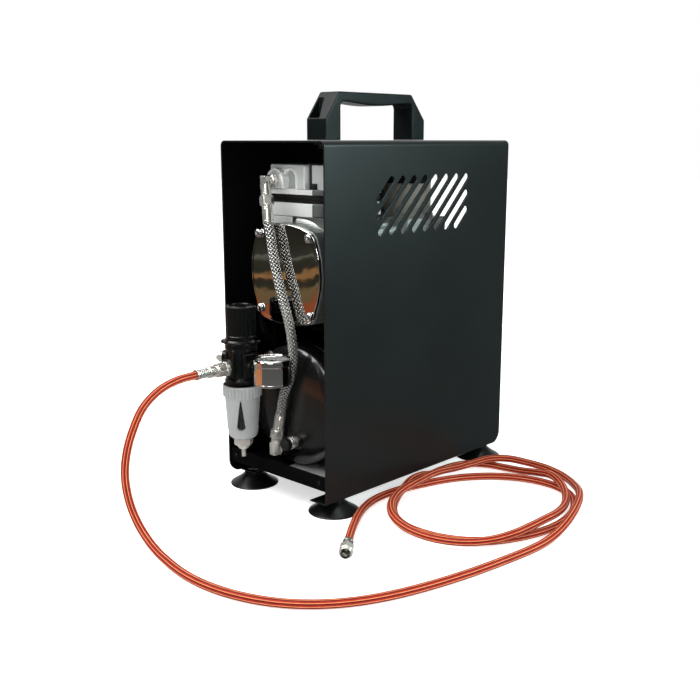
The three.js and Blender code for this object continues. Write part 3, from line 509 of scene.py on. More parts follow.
def powder_coat(name, base, rough, grain=1.0, spec=0.5):
    """Satin powder coat: a fine pebbled skin over a slow orange peel."""
    m = Mat(name, Specular_IOR_Level=spec)
    m.round_edges(0.35)
    fine, peel, cloud = m.noise(2600, 3, 0.6), m.noise(620, 2, 0.5), m.noise(9, 3, 0.6)
    m.colour(m.mix(m.span(cloud, 0.35, 0.65, 0, 1), tuple(c * 0.9 for c in base), tuple(c * 1.12 for c in base)))
    m.rough(m.span(m.math("ADD", fine, m.math("MULTIPLY", cloud, 0.8)), 0.5, 1.3, rough - 0.05, rough + 0.05))
    m.bump(peel, 0.05 * grain, 0.5)
    m.bump(fine, 0.022 * grain, 0.55)
    return m.m


def gloss_paint(name, base, rough, coat):
    """Wet-sprayed enamel with a little orange peel and a few dust specks."""
    m = Mat(name, Coat_Weight=coat, Coat_Roughness=0.06)
    m.round_edges(0.4)
    peel, speck, cloud = m.noise(330, 2, 0.5), m.cells(900), m.noise(14, 3)
    m.colour(m.mix(cloud, tuple(c * 0.8 for c in base), tuple(c * 1.25 for c in base)))
    m.rough(m.span(cloud, 0.3, 0.7, rough - 0.03, rough + 0.05))
    m.bump(peel, 0.06, 0.35)
    m.bump(m.span(speck, 0.0, 0.12, 1, 0), 0.01, 0.3)
    return m.m


def plastic(name, base, rough, leather=0.0, spec=0.5, edge=0.35, scale=1.0):
    """Moulded plastic: spark-eroded texture from cells, or near smooth when leather is 0."""
    m = Mat(name, Specular_IOR_Level=spec)
    m.round_edges(edge)
    cell, fine, cloud = m.cells(1500 * scale), m.noise(3200 * scale, 2), m.noise(16, 3, 0.6)
    m.colour(m.mix(m.span(cloud, 0.3, 0.7, 0, 1), tuple(c * 0.86 for c in base), tuple(c * 1.16 for c in base)))
    m.rough(m.span(m.math("ADD", m.math("MULTIPLY", fine, 0.4), cloud), 0.4, 1.0, rough - 0.05, rough + 0.06))
    if leather:
        m.bump(cell, 0.05 * leather, 0.7)
    m.bump(fine, 0.012, 0.4)
    return m.m


def cast_metal(name, base, rough, grit=1.0, metallic=0.9):
    """Bead-blasted die casting: pitted grey skin, with a painted highlight along its edges."""
    m = Mat(name, Metallic=metallic)
    m.round_edges(0.5)
    fine, pit, cloud = m.noise(2400, 3, 0.65), m.cells(1300), m.noise(26, 4, 0.6)
    t = m.math("ADD", m.math("MULTIPLY", fine, 0.5), m.math("MULTIPLY", cloud, 0.5))
    # painted highlight: the colour brightens along edges, where the bevelled normal turns away from the face normal
    edge, face = m.add("ShaderNodeBevel"), m.add("ShaderNodeNewGeometry")
    edge.samples = 6
    edge.inputs["Radius"].default_value = 0.0008
    turn = m.add("ShaderNodeVectorMath", operation="DOT_PRODUCT")
    m.put(turn.inputs[0], edge.outputs[0])
    m.put(turn.inputs[1], face.outputs["Normal"])
    painted_edge_highlight = m.span(turn.outputs["Value"], 0.992, 0.93, 0, 0.75)
    m.colour(m.mix(painted_edge_highlight, m.mix(m.span(t, 0.35, 0.65, 0, 1), tuple(c * 0.82 for c in base), tuple(c * 1.12 for c in base)), tuple(min(0.9, c * 1.9) for c in base)))
    m.rough(m.span(t, 0.35, 0.65, rough + 0.07, rough - 0.05))
    m.bump(pit, 0.05 * grit, 0.45)
    m.bump(fine, 0.03 * grit, 0.5)
    return m.m


def metal(name, base, rough, streak=(1, 1, 1), mm=0.004, edge=0.3, metallic=1.0, clouds=0.08):
    """Turned, ground or plated metal: fine streaks along one axis, and slight clouding."""
    m = Mat(name, Metallic=metallic)
    m.round_edges(edge)
    s, cloud, fine = m.noise(1500, 2, 0.5, stretch=streak), m.noise(40, 3, 0.6), m.noise(700, 2)
    m.colour(m.mix(m.span(cloud, 0.3, 0.7, 0, 1), tuple(c * (1 - clouds) for c in base), tuple(min(1, c * (1 + clouds)) for c in base)))
    m.rough(m.span(m.math("ADD", m.math("MULTIPLY", s, 0.5), m.math("MULTIPLY", cloud, 0.5)), 0.35, 0.65, max(0.02, rough - 0.03), rough + 0.05))
    m.bump(s, mm, 0.4)
    m.bump(fine, mm * 1.5, 0.3)
    return m.m


def mirror_plate(name):
    """Pressed and polished cover plate, slightly wavy."""
    m = Mat(name, Metallic=1.0)
    m.round_edges(0.6)
    wave, fine = m.noise(38, 2, 0.45), m.noise(900, 2)
    m.colour(m.mix(m.span(fine, 0.3, 0.7, 0, 1), (0.80, 0.79, 0.76), (0.86, 0.85, 0.83)))
    m.rough(m.span(m.noise(60, 4, 0.7), 0.35, 0.7, 0.025, 0.075))
    m.bump(wave, 0.9, 0.28)
    m.bump(fine, 0.002, 0.3)
    return m.m


WEAVE_N, WEAVE_R = 7, 3.98


def braid_metal(name, hand):
    """One flat strand of a stainless braid: fine wires side by side, with a painted highlight where it rides over the
    other set and painted shade at its edges and where it dives under.
    """
    m = Mat(name, Metallic=0.78)
    u, v = m.wrap()
    wires = m.math("SINE", m.math("MULTIPLY", u, 2 * PI * 5))
    tone = m.noise(900, 2)
    over = m.math("MULTIPLY", m.math("COSINE", m.math("MULTIPLY", v, 2 * PI * 1000 * WEAVE_N / (2 * PI * WEAVE_R))), hand)
    # painted light: the crown of each strand is bright, while its edges and the part that dives under are dark
    painted_light_mask = m.math("MULTIPLY", m.span(over, -0.35, 0.7, 0, 1), m.span(m.math("SINE", m.math("MULTIPLY", u, PI)), 0.12, 0.8, 0, 1))
    shine = m.mix(m.span(m.math("ADD", wires, tone), -0.6, 1.5, 0, 1), (0.62, 0.62, 0.59), (1.0, 1.0, 0.97))
    m.colour(m.mix(painted_light_mask, (0.085, 0.085, 0.078), shine))
    m.rough(m.span(tone, 0.3, 0.7, 0.17, 0.26))
    m.bump(wires, 0.04, 0.45)
    return m.m


def striped_hose(name):
    """Textile cover on an air hose: orange-red ground with pale and dark lines running along it, in a fine diagonal weave."""
    m = Mat(name, Specular_IOR_Level=0.18, Sheen_Weight=0.04, Sheen_Roughness=0.4)
    u, v = m.wrap()
    wobble = m.noise(26, 2, 0.5)
    uu = m.math("ADD", u, m.math("MULTIPLY", m.math("SUBTRACT", wobble, 0.5), 0.012))
    t = m.math("FRACT", m.math("MULTIPLY", uu, 8.0))
    stripes = m.ramp(t, [
        (0.00, (0.36, 0.016, 0.009)), (0.24, (0.50, 0.026, 0.013)), (0.36, (0.58, 0.050, 0.020)), (0.41, (0.95, 0.56, 0.22)), (0.46, (0.95, 0.54, 0.21)),
        (0.51, (0.50, 0.040, 0.017)), (0.66, (0.24, 0.015, 0.008)), (0.72, (0.024, 0.004, 0.003)), (0.80, (0.024, 0.004, 0.003)), (0.88, (0.32, 0.020, 0.010))])
    a = m.math("MULTIPLY", m.math("ADD", m.math("MULTIPLY", u, 22.0), m.math("MULTIPLY", v, 640.0)), 2 * PI)
    b = m.math("MULTIPLY", m.math("SUBTRACT", m.math("MULTIPLY", u, 22.0), m.math("MULTIPLY", v, 640.0)), 2 * PI)
    weave = m.math("ADD", m.math("MULTIPLY", m.math("MULTIPLY", m.math("SINE", a), m.math("SINE", b)), 0.5), 0.5)
    shade = m.span(weave, 0.0, 1.0, 0.72, 1.08)
    tone = m.span(m.noise(220, 3, 0.6), 0.3, 0.7, 0.9, 1.1)
    m.colour(m.mix(1.0, m.mix(1.0, stripes, shade, "MULTIPLY"), tone, "MULTIPLY"))
    m.rough(m.span(weave, 0, 1, 0.62, 0.42))
    m.bump(weave, 0.14, 0.6)
    m.bump(m.noise(4000, 2), 0.02, 0.4)
    return m.m


def clear_part(name, tint, rough, ior):
    m = Mat(name, Transmission_Weight=1.0, IOR=ior)
    m.colour(m.mix(m.noise(30, 2), tuple(c * 0.96 for c in tint), tint))
    m.rough(m.span(m.noise(200, 3), 0.3, 0.7, max(0.0, rough - 0.01), rough + 0.015))
    m.bump(m.noise(60, 2), 0.01, 0.2)
    return m.m


def windings(name):
    """Lacquered copper wire laid round the motor's axis."""
    m = Mat(name, Metallic=0.85)
    w = m.noise(500, 2, 0.5, stretch=(1, 0.15, 1))
    m.colour(m.ramp(w, [(0.3, (0.10, 0.03, 0.012)), (0.55, (0.46, 0.17, 0.06)), (0.75, (0.62, 0.27, 0.10))]))
    m.rough(m.span(w, 0.3, 0.7, 0.5, 0.28))
    m.bump(w, 0.5, 0.8)
    return m.m


POWDER = powder_coat("powder_black", (0.0044, 0.0064, 0.0063), 0.325)
# near-black coat of the base pan, saddles and deck; also painted shade on the cover's inner faces and on the plate's
# left part
BLACK_COAT_AND_SHADE = powder_coat("powder_black_and_painted_shade", (0.0014, 0.0016, 0.0016), 0.55, spec=0.06)
TANK = gloss_paint("gloss_black_enamel", (0.0045, 0.0047, 0.0045), 0.26, 0.7)
GRIP = plastic("handle_plastic", (0.0044, 0.0072, 0.0074), 0.36, 0.6, 0.25, 0.5)
BLACK = plastic("black_plastic", (0.0034, 0.0044, 0.0039), 0.22, 0.0, 0.34, 0.3)
BLACK_MATT = plastic("black_plastic_matt", (0.010, 0.0105, 0.011), 0.48, 0.6, 0.35, 0.3)
RUBBER = plastic("rubber", (0.0030, 0.0033, 0.0032), 0.30, 0.0, 0.26, 0.3)
# black rubber of the valve plate gasket; also painted shade inside the hose nut's bore
GASKET_AND_SHADE = plastic("gasket_rubber_and_painted_shade", (0.0035, 0.0035, 0.0035), 0.5, 0.5, 0.35, 0.2)
GREY = plastic("grey_plastic", (0.315, 0.326, 0.322), 0.34, 0.25, 0.5, 0.35)
SILENCER = plastic("silencer_grey", (0.44, 0.41, 0.35), 0.42, 0.3, 0.5, 0.4)
CAST = cast_metal("cast_aluminium", (0.66, 0.68, 0.67), 0.34, 1.0, 0.40)
# brighter cast copy: the faced flange and base plate, and painted light on the crankcase neck and rib
CAST_FACED_AND_LIT = cast_metal("faced_aluminium_and_painted_light", (0.78, 0.80, 0.78), 0.34, 0.6, 0.3)
# mid-grey cast copy: painted shade in the arched recess of the pump head
CAST_RECESS_SHADE = cast_metal("cast_painted_recess_shade", (0.36, 0.385, 0.365), 0.4, 1.0, 0.4)
# near-white cast copy: painted highlight on the raised beads of the pump head
CAST_PAINTED_HIGHLIGHT = cast_metal("cast_painted_highlight", (0.94, 0.94, 0.92), 0.30, 0.2, 0.45)
CAST_LIGHT = cast_metal("motor_casting", (0.82, 0.84, 0.82), 0.4, 1.0, 0.15)
# very dark cast copy: painted shade in the screw pocket of the pump head
CAST_PAINTED_SHADE = cast_metal("cast_painted_shade", (0.10, 0.105, 0.10), 0.45, 1.0, 0.3)
# dark crankcase casting; also painted shade on the chamfers turned from the light
CAST_DARK_AND_SHADE = cast_metal("cast_crankcase_and_painted_shade", (0.20, 0.215, 0.205), 0.33, 1.0, 0.7)
MACHINED = metal("machined_aluminium", (0.72, 0.73, 0.72), 0.22, (1, 1, 0.05), 0.004)
ZINC = metal("zinc_plate", (0.62, 0.64, 0.63), 0.36, (1, 0.08, 1), 0.004, 0.3, 0.3)
NICKEL = metal("nickel_plate", (0.78, 0.765, 0.71), 0.19, (1, 1, 0.3), 0.003, 0.3, 0.84, 0.08)
NICKEL_SATIN = metal("satin_nickel", (0.86, 0.84, 0.77), 0.2, (1, 1, 0.3), 0.002, 0.3, 0.7, 0.07)
NICKEL_DARK = metal("darker_nickel", (0.24, 0.235, 0.20), 0.30, (1, 1, 0.3), 0.004, 0.3, 0.85, 0.12)
CHROME = metal("chrome", (0.84, 0.83, 0.81), 0.05, (1, 1, 0.3), 0.001, 0.25, 1.0, 0.02)
STEEL = metal("steel", (0.60, 0.60, 0.60), 0.24, (1, 1, 0.2), 0.004)
DARK_STEEL = metal("oiled_screw", (0.045, 0.045, 0.047), 0.3, (1, 1, 1), 0.004, 0.25, 0.8)
MIRROR = mirror_plate("mirror_cover")
BRAID = braid_metal("steel_braid", 1)
BRAID_BACK = braid_metal("steel_braid_back", -1)
BRAID_CORE = plastic("braid_liner", (0.003, 0.003, 0.003), 0.6, 0.0, 0.08, 0.1)
HOSE = striped_hose("striped_hose")
SMOKE = clear_part("smoked_bowl", (0.42, 0.45, 0.45), 0.12, 1.45)
GLASS = clear_part("gauge_glass", (0.97, 0.98, 0.98), 0.0, 1.45)
DIAL = plastic("dial_face", (0.80, 0.80, 0.77), 0.45, 0.0, 0.4, 0.1)
INK = plastic("dial_ink", (0.015, 0.015, 0.016), 0.5, 0.0, 0.3, 0.05)
RED = plastic("red_plastic", (0.40, 0.018, 0.012), 0.25, 0.0, 0.5, 0.3)
COPPER = windings("copper_windings")
LAMINATE = metal("laminations", (0.22, 0.22, 0.23), 0.38, (0.1, 6, 0.1), 0.03, 0.2, 0.9)


# ------------------------------------------------------------------ dimensions, as in the CAD source
CASE_L, CASE_W, CASE_Z0, CASE_Z1, SHEET = 264, 134, 13, 331, 1.5
H, W = CASE_L / 2, CASE_W / 2
TOP_BEND_R, CORNER_R, FLANGE_W = 5, 13, 20.5
VENT_PITCH, VENT_W, VENT_Y0, VENT_TOP, VENT_BOT, VENT_FRONT, VENT_REAR = 15.7, 6.3, -47.2, 297.2, 250.9, -64.2, 62.4
FOOT_X, FOOT_Y = 55, 110
TANK_R, TANK_Z, TANK_FRONT, TANK_REAR, DOME, DOME_P = 57, 88.6, -113.8, 119, 12, 3
CRANK_Z, CRANK_R, BORE_R, CYL_Y = 208, 8, 20.4, -63
HEAD_HALF, HEAD_TOP = 37, 310
REG_X, REG_Y, PORT_Z = -30, -144, 128.5
GAUGE_X, GAUGE_R = 12, 17.4
HANDLE_W, HANDLE_TOP = 25, 374.5
HOSE_R, BRAID_R = 3.6, 4.5

# ------------------------------------------------------------------ the free air hose, end to end
HOSE_ROUTE = [
    (-30, -197.5, 128.5), (-30, -217.7, 127.3), (-30, -237, 121.7), (-30, -253.4, 110.2), (-30, -264.3, 93.2), (-30, -271.7, 74.5), (-28.8, -275.2, 54.5),
    (-23.4, -276, 35.2), (-12.4, -276.2, 19.2), (3.4, -277.4, 8.7), (22.1, -280.8, 4.3), (42, -285.4, 3.8), (62, -289.3, 3.8), (82.2, -291.1, 3.8), (102.4, -290.3, 3.8),
    (122.3, -286.7, 3.8), (141.5, -280.3, 3.8), (159.3, -271.1, 3.8), (175.3, -258.8, 3.8), (188.8, -244, 3.8), (199.9, -227.1, 3.8), (208.6, -208.9, 3.8),
    (215.5, -189.9, 3.8), (221.2, -170.4, 3.8), (225.9, -150.7, 3.8), (229.9, -130.9, 3.8), (233.1, -110.9, 3.8), (235.9, -90.9, 3.8), (238.2, -70.9, 3.8),
    (239.4, -51, 4.1), (238.7, -31.1, 5.6), (235.9, -11.2, 7.8), (231.3, 8.5, 10.3), (224.7, 27.9, 11.7), (216.2, 46.6, 11.8), (205.5, 64.1, 10.5), (192.2, 79.6, 8.2),
    (176.8, 93.1, 6.9), (159.4, 103.2, 6.5), (140.5, 107.6, 7), (121.7, 104.1, 8.7), (105.1, 93.7, 11.6), (92, 78.3, 11.9), (83, 60.2, 9.1), (78.1, 40.7, 8.4),
    (77.3, 20.8, 10.4), (80, 1, 12.8), (83.2, -19.1, 13.4), (86.8, -39.1, 14), (91.8, -58.7, 14.7), (99.5, -77.6, 15.1), (110.4, -94.6, 14.8), (125, -107.8, 13.4),
    (142.9, -114.9, 11.4), (162.2, -114.5, 9.2), (180.8, -107.4, 7.5), (197.2, -95.4, 7.1), (210.3, -79.9, 8.2), (219, -61.7, 10.6), (222.8, -41.8, 12.5),
    (222.8, -21.3, 12.4), (220.3, -1.1, 10.6), (215.5, 18.3, 9), (208, 36.8, 8.3), (197.4, 53.6, 9.4), (183.5, 67.8, 11.7), (166.6, 78.3, 12.6), (147.4, 84.5, 9.1),
    (127.1, 87.4, 5.3), (106.6, 87.3, 3.8), (87.6, 83, 3.8), (73, 72.5, 3.8), (65.1, 55.7, 3.8), (63.2, 35.8, 3.8), (67.2, 15.2, 5.8), (72.3, -5, 11.2),
    (75, -24.4, 12.2), (80.2, -43.3, 8.7), (88.5, -61.5, 6.7), (99.6, -78.4, 5.7), (114, -91.7, 4.6), (131.8, -99.5, 3.8), (151.6, -101.4, 3.8), (171.4, -97.9, 3.8),
    (189.3, -89.3, 3.8), (203.5, -75.8, 3.8), (213.9, -58.7, 3.8), (221.4, -39.8, 3.8), (225.7, -20, 3.8), (226.1, 0.2, 3.8), (222.6, 20.3, 3.8), (215.5, 39.3, 3.8),
    (204.6, 56.2, 3.8), (190, 69.3, 3.8), (172, 76.1, 3.8), (152.3, 76.5, 3.8), (133.1, 71, 3.8), (116, 60.4, 3.8), (101.7, 46.1, 3.8), (90.5, 29.4, 3.8),
    (82.3, 11, 3.8), (76.4, -8.3, 3.8), (71.3, -27.9, 3.8), (68.8, -47.9, 3.8), (69.8, -67.8, 4.1), (75, -87.1, 4.5), (83.5, -105.3, 5), (94.1, -122.6, 5.4),
    (105.7, -139.2, 5.9), (117.8, -155.5, 6.5), (124, -163.4, 7),
]
hose_path, hose_len = catmull(HOSE_ROUTE, 560)
hose = make("air_hose_cover", sweep(hose_path, HOSE_R, 28), HOSE, "air_hose", weighted=False, sharp=60)
s0, s9 = np.array(HOSE_ROUTE[0]), np.array(HOSE_ROUTE[-1])
hd = s9 - np.array(HOSE_ROUTE[-2])
hd[2] = 0
hd /= np.linalg.norm(hd)
on_end = lambda t: tuple(s9 + hd * t)


def crimped(length, r_big, r_small, z_big, rings_at, r_ring):
    pts = [(0, 0), (r_big, 0), (r_big, z_big), (r_small, z_big + 0.6)]
    for z in rings_at:
        pts += [(r_small, z - 0.5), (r_small - r_ring, z), (r_small, z + 0.5)]
    return pts + [(r_small, length), (0, length)]


coupling = joined(
    lathe(crimped(13, 4.9, 4.3, 2.4, (5.2, 7.0, 8.8), 0.28), 48, 0.18),
    moved(lathe([(0, 0), (4.3, 0), (5.4, 1.2), (5.4, 5.9), (0, 5.9)], 48, 0.3), z=13))
make("hose_coupling", along(coupling, "y", (s0[0], s0[1] + 0.3, s0[2])), NICKEL, "hose_coupling_start")
ferrule = joined(
    lathe(crimped(8.2, 4.5, 3.9, 2.6, (4.6, 6.2), 0.25), 48, 0.15),
    moved(lathe([(0, 0), (3.9, 0), (4.6, 0.7), (4.6, 2.3), (3.0, 2.7), (3.0, 6.1), (1.6, 6.9), (0, 6.9)], 48, 0.2), z=8.1))
make("hose_ferrule", along(ferrule, tuple(hd), on_end(0.3)), NICKEL_DARK, "hose_ferrule_end")
nut_body = carve(joined(hex_nut(11.2, 9.5, 0, 0.9)), rod(3.45, 30, 48, 0).copy() | {"v": rod(3.45, 30, 48, 0)["v"] - np.array((0, 0, 5))})
# the bore and the thread inside the nut take the black rubber as painted shade
end_nut = joined(nut_body, paint(lathe([(3.5, 0.3), (4.9, 0.3), (4.9, 9.0), (5.0, 9.4), (5.0, 12.2), (4.6, 12.6), (4.1, 12.6)] + [(3.9 + 0.22 * (k % 2), 12.2 - 0.42 * k) for k in range(17)] + [(3.5, 5.2)], 60, 0.08, 1, True), 1, lambda x, y, z: math.hypot(x, y) < 4.3))
make("hose_nut", along(end_nut, tuple(hd), on_end(11.4)), [NICKEL_SATIN, GASKET_AND_SHADE], "hose_end_nut", bevel=0.0)


# ------------------------------------------------------------------ case
def cover_sheet():
    """The folded cover, cut flat with its vents and corner radii, then bent over its four folds."""
    o, t = W, SHEET
    m_bot, m_top = 2 - t / 2, TOP_BEND_R - t / 2
    l_flange, l_bot, l_side, l_top, l_roof = FLANGE_W - 2, m_bot * PI / 2, (CASE_Z1 - TOP_BEND_R) - (CASE_Z0 + 2), m_top * PI / 2, 2 * (o - TOP_BEND_R)
    marks = np.cumsum([0, l_flange, l_bot, l_side, l_top, l_roof, l_top, l_side, l_bot, l_flange])
    total = marks[-1]
    side0 = marks[2]
    s_of_z = lambda z: side0 + (z - CASE_Z0 - 2) if z >= CASE_Z0 + 2 else marks[1] + (z - CASE_Z0) / 2 * l_bot
    R = CORNER_R
    corner = [(H - R + R * math.sin(math.radians(a)), s_of_z(CASE_Z0 + R - R * math.cos(math.radians(a)))) for a in np.linspace(0, 90, 14)]
    right_rear = [(s, y) for y, s in corner]
    outline = [(0, -H), (0, H - R)] + right_rear
    left_rear = [(total - s, y) for s, y in reversed(right_rear)]
    outline += left_rear + [(total, H - R), (total, -H + R)]
    outline += [(total - s, -y) for s, y in right_rear] + [(marks[6] + 1, -H)]
    clean = []
    for p in outline:
        if not clean or abs(p[0] - clean[-1][0]) + abs(p[1] - clean[-1][1]) > 1e-3:
            clean.append(p)
    slots = []
    for i in range(10):
        y_top = VENT_Y0 + VENT_PITCH * i
        a, c = (y_top - (VENT_TOP - VENT_BOT), VENT_BOT), (y_top, VENT_TOP)
        if a[0] < VENT_FRONT:
            a = (VENT_FRONT, VENT_TOP - (y_top - VENT_FRONT))
        if c[0] > VENT_REAR:
            c = (VENT_REAR, VENT_TOP - (y_top - VENT_REAR))
        slot = arc(c[0], c[1], VENT_W / 2, -45, 135, 12) + arc(a[0], a[1], VENT_W / 2, 135, 315, 12)
        slots.append([(s_of_z(z), y) for y, z in slot])
    g = plate(clean, t, slots, 0.28, 2)
    g["v"][:, 2] -= t / 2
    bm = bmesh.new()
    vs = [bm.verts.new(p) for p in g["v"]]
    for f in g["f"]:
        try:
            bm.faces.new([vs[i] for i in f])
        except ValueError:
            pass
    cuts = []
    for a, b, n in ((1, 2, 5), (3, 4, 9), (5, 6, 9), (7, 8, 5)):
        cuts += list(np.linspace(marks[a], marks[b], n))
    for c in cuts:
        bmesh.ops.bisect_plane(bm, geom=bm.verts[:] + bm.edges[:] + bm.faces[:], plane_co=(c, 0, 0), plane_no=(1, 0, 0), dist=1e-4)
    zb, zt = CASE_Z0 + 2, CASE_Z1 - TOP_BEND_R
    xt = o - TOP_BEND_R
    for v in bm.verts:
        s, y, h = v.co
        left = s > total / 2
        q = total - s if left else s
        if q <= marks[1]:
            x, z, nx, nz = o - FLANGE_W + q, CASE_Z0 + t / 2, 0, -1
        elif q <= marks[2]:
            a = (q - marks[1]) / m_bot - PI / 2
            x, z, nx, nz = o - 2 + m_bot * math.cos(a), zb + m_bot * math.sin(a), math.cos(a), math.sin(a)
        elif q <= marks[3]:
            x, z, nx, nz = o - t / 2, zb + q - marks[2], 1, 0
        elif q <= marks[4]:
            a = (q - marks[3]) / m_top
            x, z, nx, nz = xt + m_top * math.cos(a), zt + m_top * math.sin(a), math.cos(a), math.sin(a)
        else:
            x, z, nx, nz = xt - (q - marks[4]), CASE_Z1 - t / 2, 0, 1
        x, z = x + nx * h, z + nz * h
        v.co = (-x if left else x, y, z)
    bm.verts.index_update()
    out = geo([tuple(v.co) for v in bm.verts], [tuple(v.index for v in f.verts) for f in bm.faces])
    bm.free()
    return out


# the cover's inner faces take the near-black, low-shine coat as painted shade inside the case
cover = paint(cover_sheet(), 1, lambda x, y, z: abs(x) < W - SHEET + 0.05 and CASE_Z0 + SHEET - 0.05 < z < CASE_Z1 - SHEET + 0.05 and abs(y) < H - 0.5)
make("case_cover", cover, [POWDER, BLACK_COAT_AND_SHADE], "casing", sharp=30)


def pan_screw(r, h, cross=True, socket=0.0):
    """A domed screw head with a cross recess or a hexagon socket."""
    dome = [(0, 0), (r, 0), (r, h * 0.35)] + [(r * math.cos(a), h * 0.35 + h * 0.65 * math.sin(a)) for a in np.linspace(0.2, PI / 2 - 0.25, 7)] + [(0, h)]
    g = lathe(dome, 40, 0.12)
    if socket:
        tool = moved(plate([(socket / math.sqrt(3) * math.cos(k * PI / 3), socket / math.sqrt(3) * math.sin(k * PI / 3)) for k in range(6)], h), z=h * 0.42)
        return carve(g, tool)
    if cross:
        b1, b2 = block(-r * 0.62, r * 0.62, -r * 0.13, r * 0.13, h * 0.5, h * 1.5, 0.02, 0.05), block(-r * 0.13, r * 0.13, -r * 0.62, r * 0.62, h * 0.5, h * 1.5, 0.02, 0.05)
        return carve(g, b1, b2)
    return g


tray_screw = pan_screw(2.2, 1.3)
tray = carve(moved(plate(rounded(130.4, 260, 2.2, 6), 13.5, (), 0.6, 3), y=-1, z=25.5), moved(plate(rounded(127.4, 257, 1.2, 4), 20), y=-1, z=27))
tray_bits = [along(tray_screw, d, (x, y, 32.2)) for x, y, d in ((57, -130.9, "ny"), (-57, -130.9, "ny"), (57, 128.9, "y"), (-57, 128.9, "y"))]
make("base_pan", joined(tray, *[mat_index(b, 1) for b in tray_bits]), [BLACK_COAT_AND_SHADE, BLACK], "base_tray", bevel=0.0)


def saddle(y):
    pts = [(-40, 28.0), (40, 28.0), (40, 45)] + arc(0, TANK_Z, TANK_R + 0.3, 313, 227, 40) + [(-40, 45)]
    return xz(pts, y - 3, y + 3, (), 0.5)


plate_top = moved(plate(rounded(122, 250, 3, 6), 1.0, (), 0.25), y=-1, z=27.3)
welds = []
for yy in (-62, 66):
    for sgn in (-1, 1):
        line = [(x, yy + sgn * 3.2, 28.5) for x in np.linspace(-39, 39, 80)]
        welds.append(sweep(line, [0.75 + 0.22 * math.sin(k * 1.9) for k in range(80)], 8))
# painted shadow: the plate's left part, past x = -6, takes the black coat; the thin cut splits its faces there
plate_top = paint(carve(plate_top, block(-6, -5.95, -140, 130, 20, 35, 0.001, 0.001)), 1, lambda x, y, z: x < -6)
make("tank_saddles", joined(plate_top, mat_index(saddle(-62), 1), mat_index(saddle(66), 1), *[mat_index(w, 1) for w in welds]), [ZINC, BLACK_COAT_AND_SHADE], "tank_cradle")

# handle: a moulded bridge with open pockets behind its sloped ends
y0, y1, i0, i1, z0 = -75.6, 63.9, -55.5, 44.4, 331.3
belly = [(i0 + 6 + (i1 - i0 - 12) * k / 24, 365.6 - 2.9 * math.sin(PI * k / 24) ** 1.4) for k in range(25)]
bridge_pts = ([(y0, z0), (i0, z0)] + arc(i0 + 5, 360.6, 5, 180, 100, 8) + belly[1:-1] + arc(i1 - 5, 360.6, 5, 80, 0, 8)
              + [(i1, z0), (y1, z0)] + arc(y1 - 3, 349.3, 3, 0, 42, 4) + arc(42.4, 371.5, 3, 42, 90, 5) + arc(-56.6, 371.5, 3, 90, 139, 5) + arc(y0 + 3, 349.3, 3, 138, 180, 4))
bridge = yz(bridge_pts, -HANDLE_W / 2, HANDLE_W / 2, (), 1.6, 5)
pocket = lambda a, b, x0, x1: yz(soften([(a, 350.9), (b, 350.9), (b, 385), (a, 385)], 1.2, 3, True), x0, x1, (), 0.8, 2)
corner_pocket = xz(soften([(-9.6, 350.9), (4.2, 350.9), (-3.0, 369.5), (-9.6, 369.5)], 1.2, 3, True), -90, -61.2, (), 0.8, 2)
bridge = carve(bridge, corner_pocket, *[pocket(49.6, 80, x0, x1) for x0, x1 in ((-9.6, -2.4), (-0.4, 9.6))])
make("handle_bridge", bridge, GRIP, "handle", sharp=38)
strip = moved(plate(rounded(18, 134, 3, 6), 2.0, (), 0.4), y=-6, z=327.2)
bolts = [along(joined(hex_nut(10, 3.7, 0, 0.7), lathe([(0, 0), (5.6, 0), (5.6, 0.5), (0, 0.5)], 40, 0.1)), "nz", (0, y, 327.3)) for y in (-65.5, 54.2)]
make("handle_strip", joined(strip, *bolts), STEEL, "handle_backing_plate")

# suction feet
cup = [(0, 4.2), (8, 3.9), (14, 2.5), (19.3, 0.35), (19.8, 0), (23.3, 0), (23.5, 0.25), (23.45, 0.8), (22.9, 1.35), (20.9, 2.55), (18.4, 4.0), (15.4, 5.9), (13.2, 7.6), (11.4, 9.1),
       (10.1, 9.9), (9.5, 10.3), (9.9, 10.7), (9.9, 11.7), (9.2, 12.3), (9.2, 12.7), (0, 12.7)]
washer = moved(lathe([(0, 0), (7.2, 0), (7.2, 1.3), (0, 1.3)], 40, 0.2), z=14.8)
for name, x, y in (("foot_front_left", -FOOT_X, -FOOT_Y), ("foot_front_right", FOOT_X, -FOOT_Y), ("foot_rear_left", -FOOT_X, FOOT_Y), ("foot_rear_right", FOOT_X, FOOT_Y)):
    stud = mat_index(joined(washer, moved(hex_nut(8, 3.4, 0, 0.5), z=16.1), moved(rod(2.4, 5.2, 24), z=16.2)), 1)
    make(name + "_cup", moved(joined(lathe(cup, 72, 0.5, 3), stud), x, y), [RUBBER, STEEL], name, sharp=50)

# ------------------------------------------------------------------ air tank
dome_y = lambda x, z: TANK_FRONT + DOME - DOME * max(0, 1 - (math.hypot(x, z - TANK_Z) / TANK_R) ** DOME_P) ** (1 / DOME_P)
BUNG = 2.8
DRAIN, ELBOW_HEAD, BRAID_TOP = (9.5, 57), (-25, -115.4, 295), (-15.3, -121.6, 261.6)
BRAID_BOTTOM, ELBOW_TANK = (-3.2, -121, 83.6), (-12.4, -121, 45)


def bead(y):
    return [(TANK_R, y - 1.6), (TANK_R + 0.0, y - 1.2), (TANK_R - 0.55, y - 0.9), (TANK_R - 0.55, y + 0.9), (TANK_R, y + 1.2), (TANK_R, y + 1.6)]


def superdome(k):
    a = k * PI / 2
    return TANK_R * math.sin(a) ** (2 / DOME_P), DOME * math.cos(a) ** (2 / DOME_P)


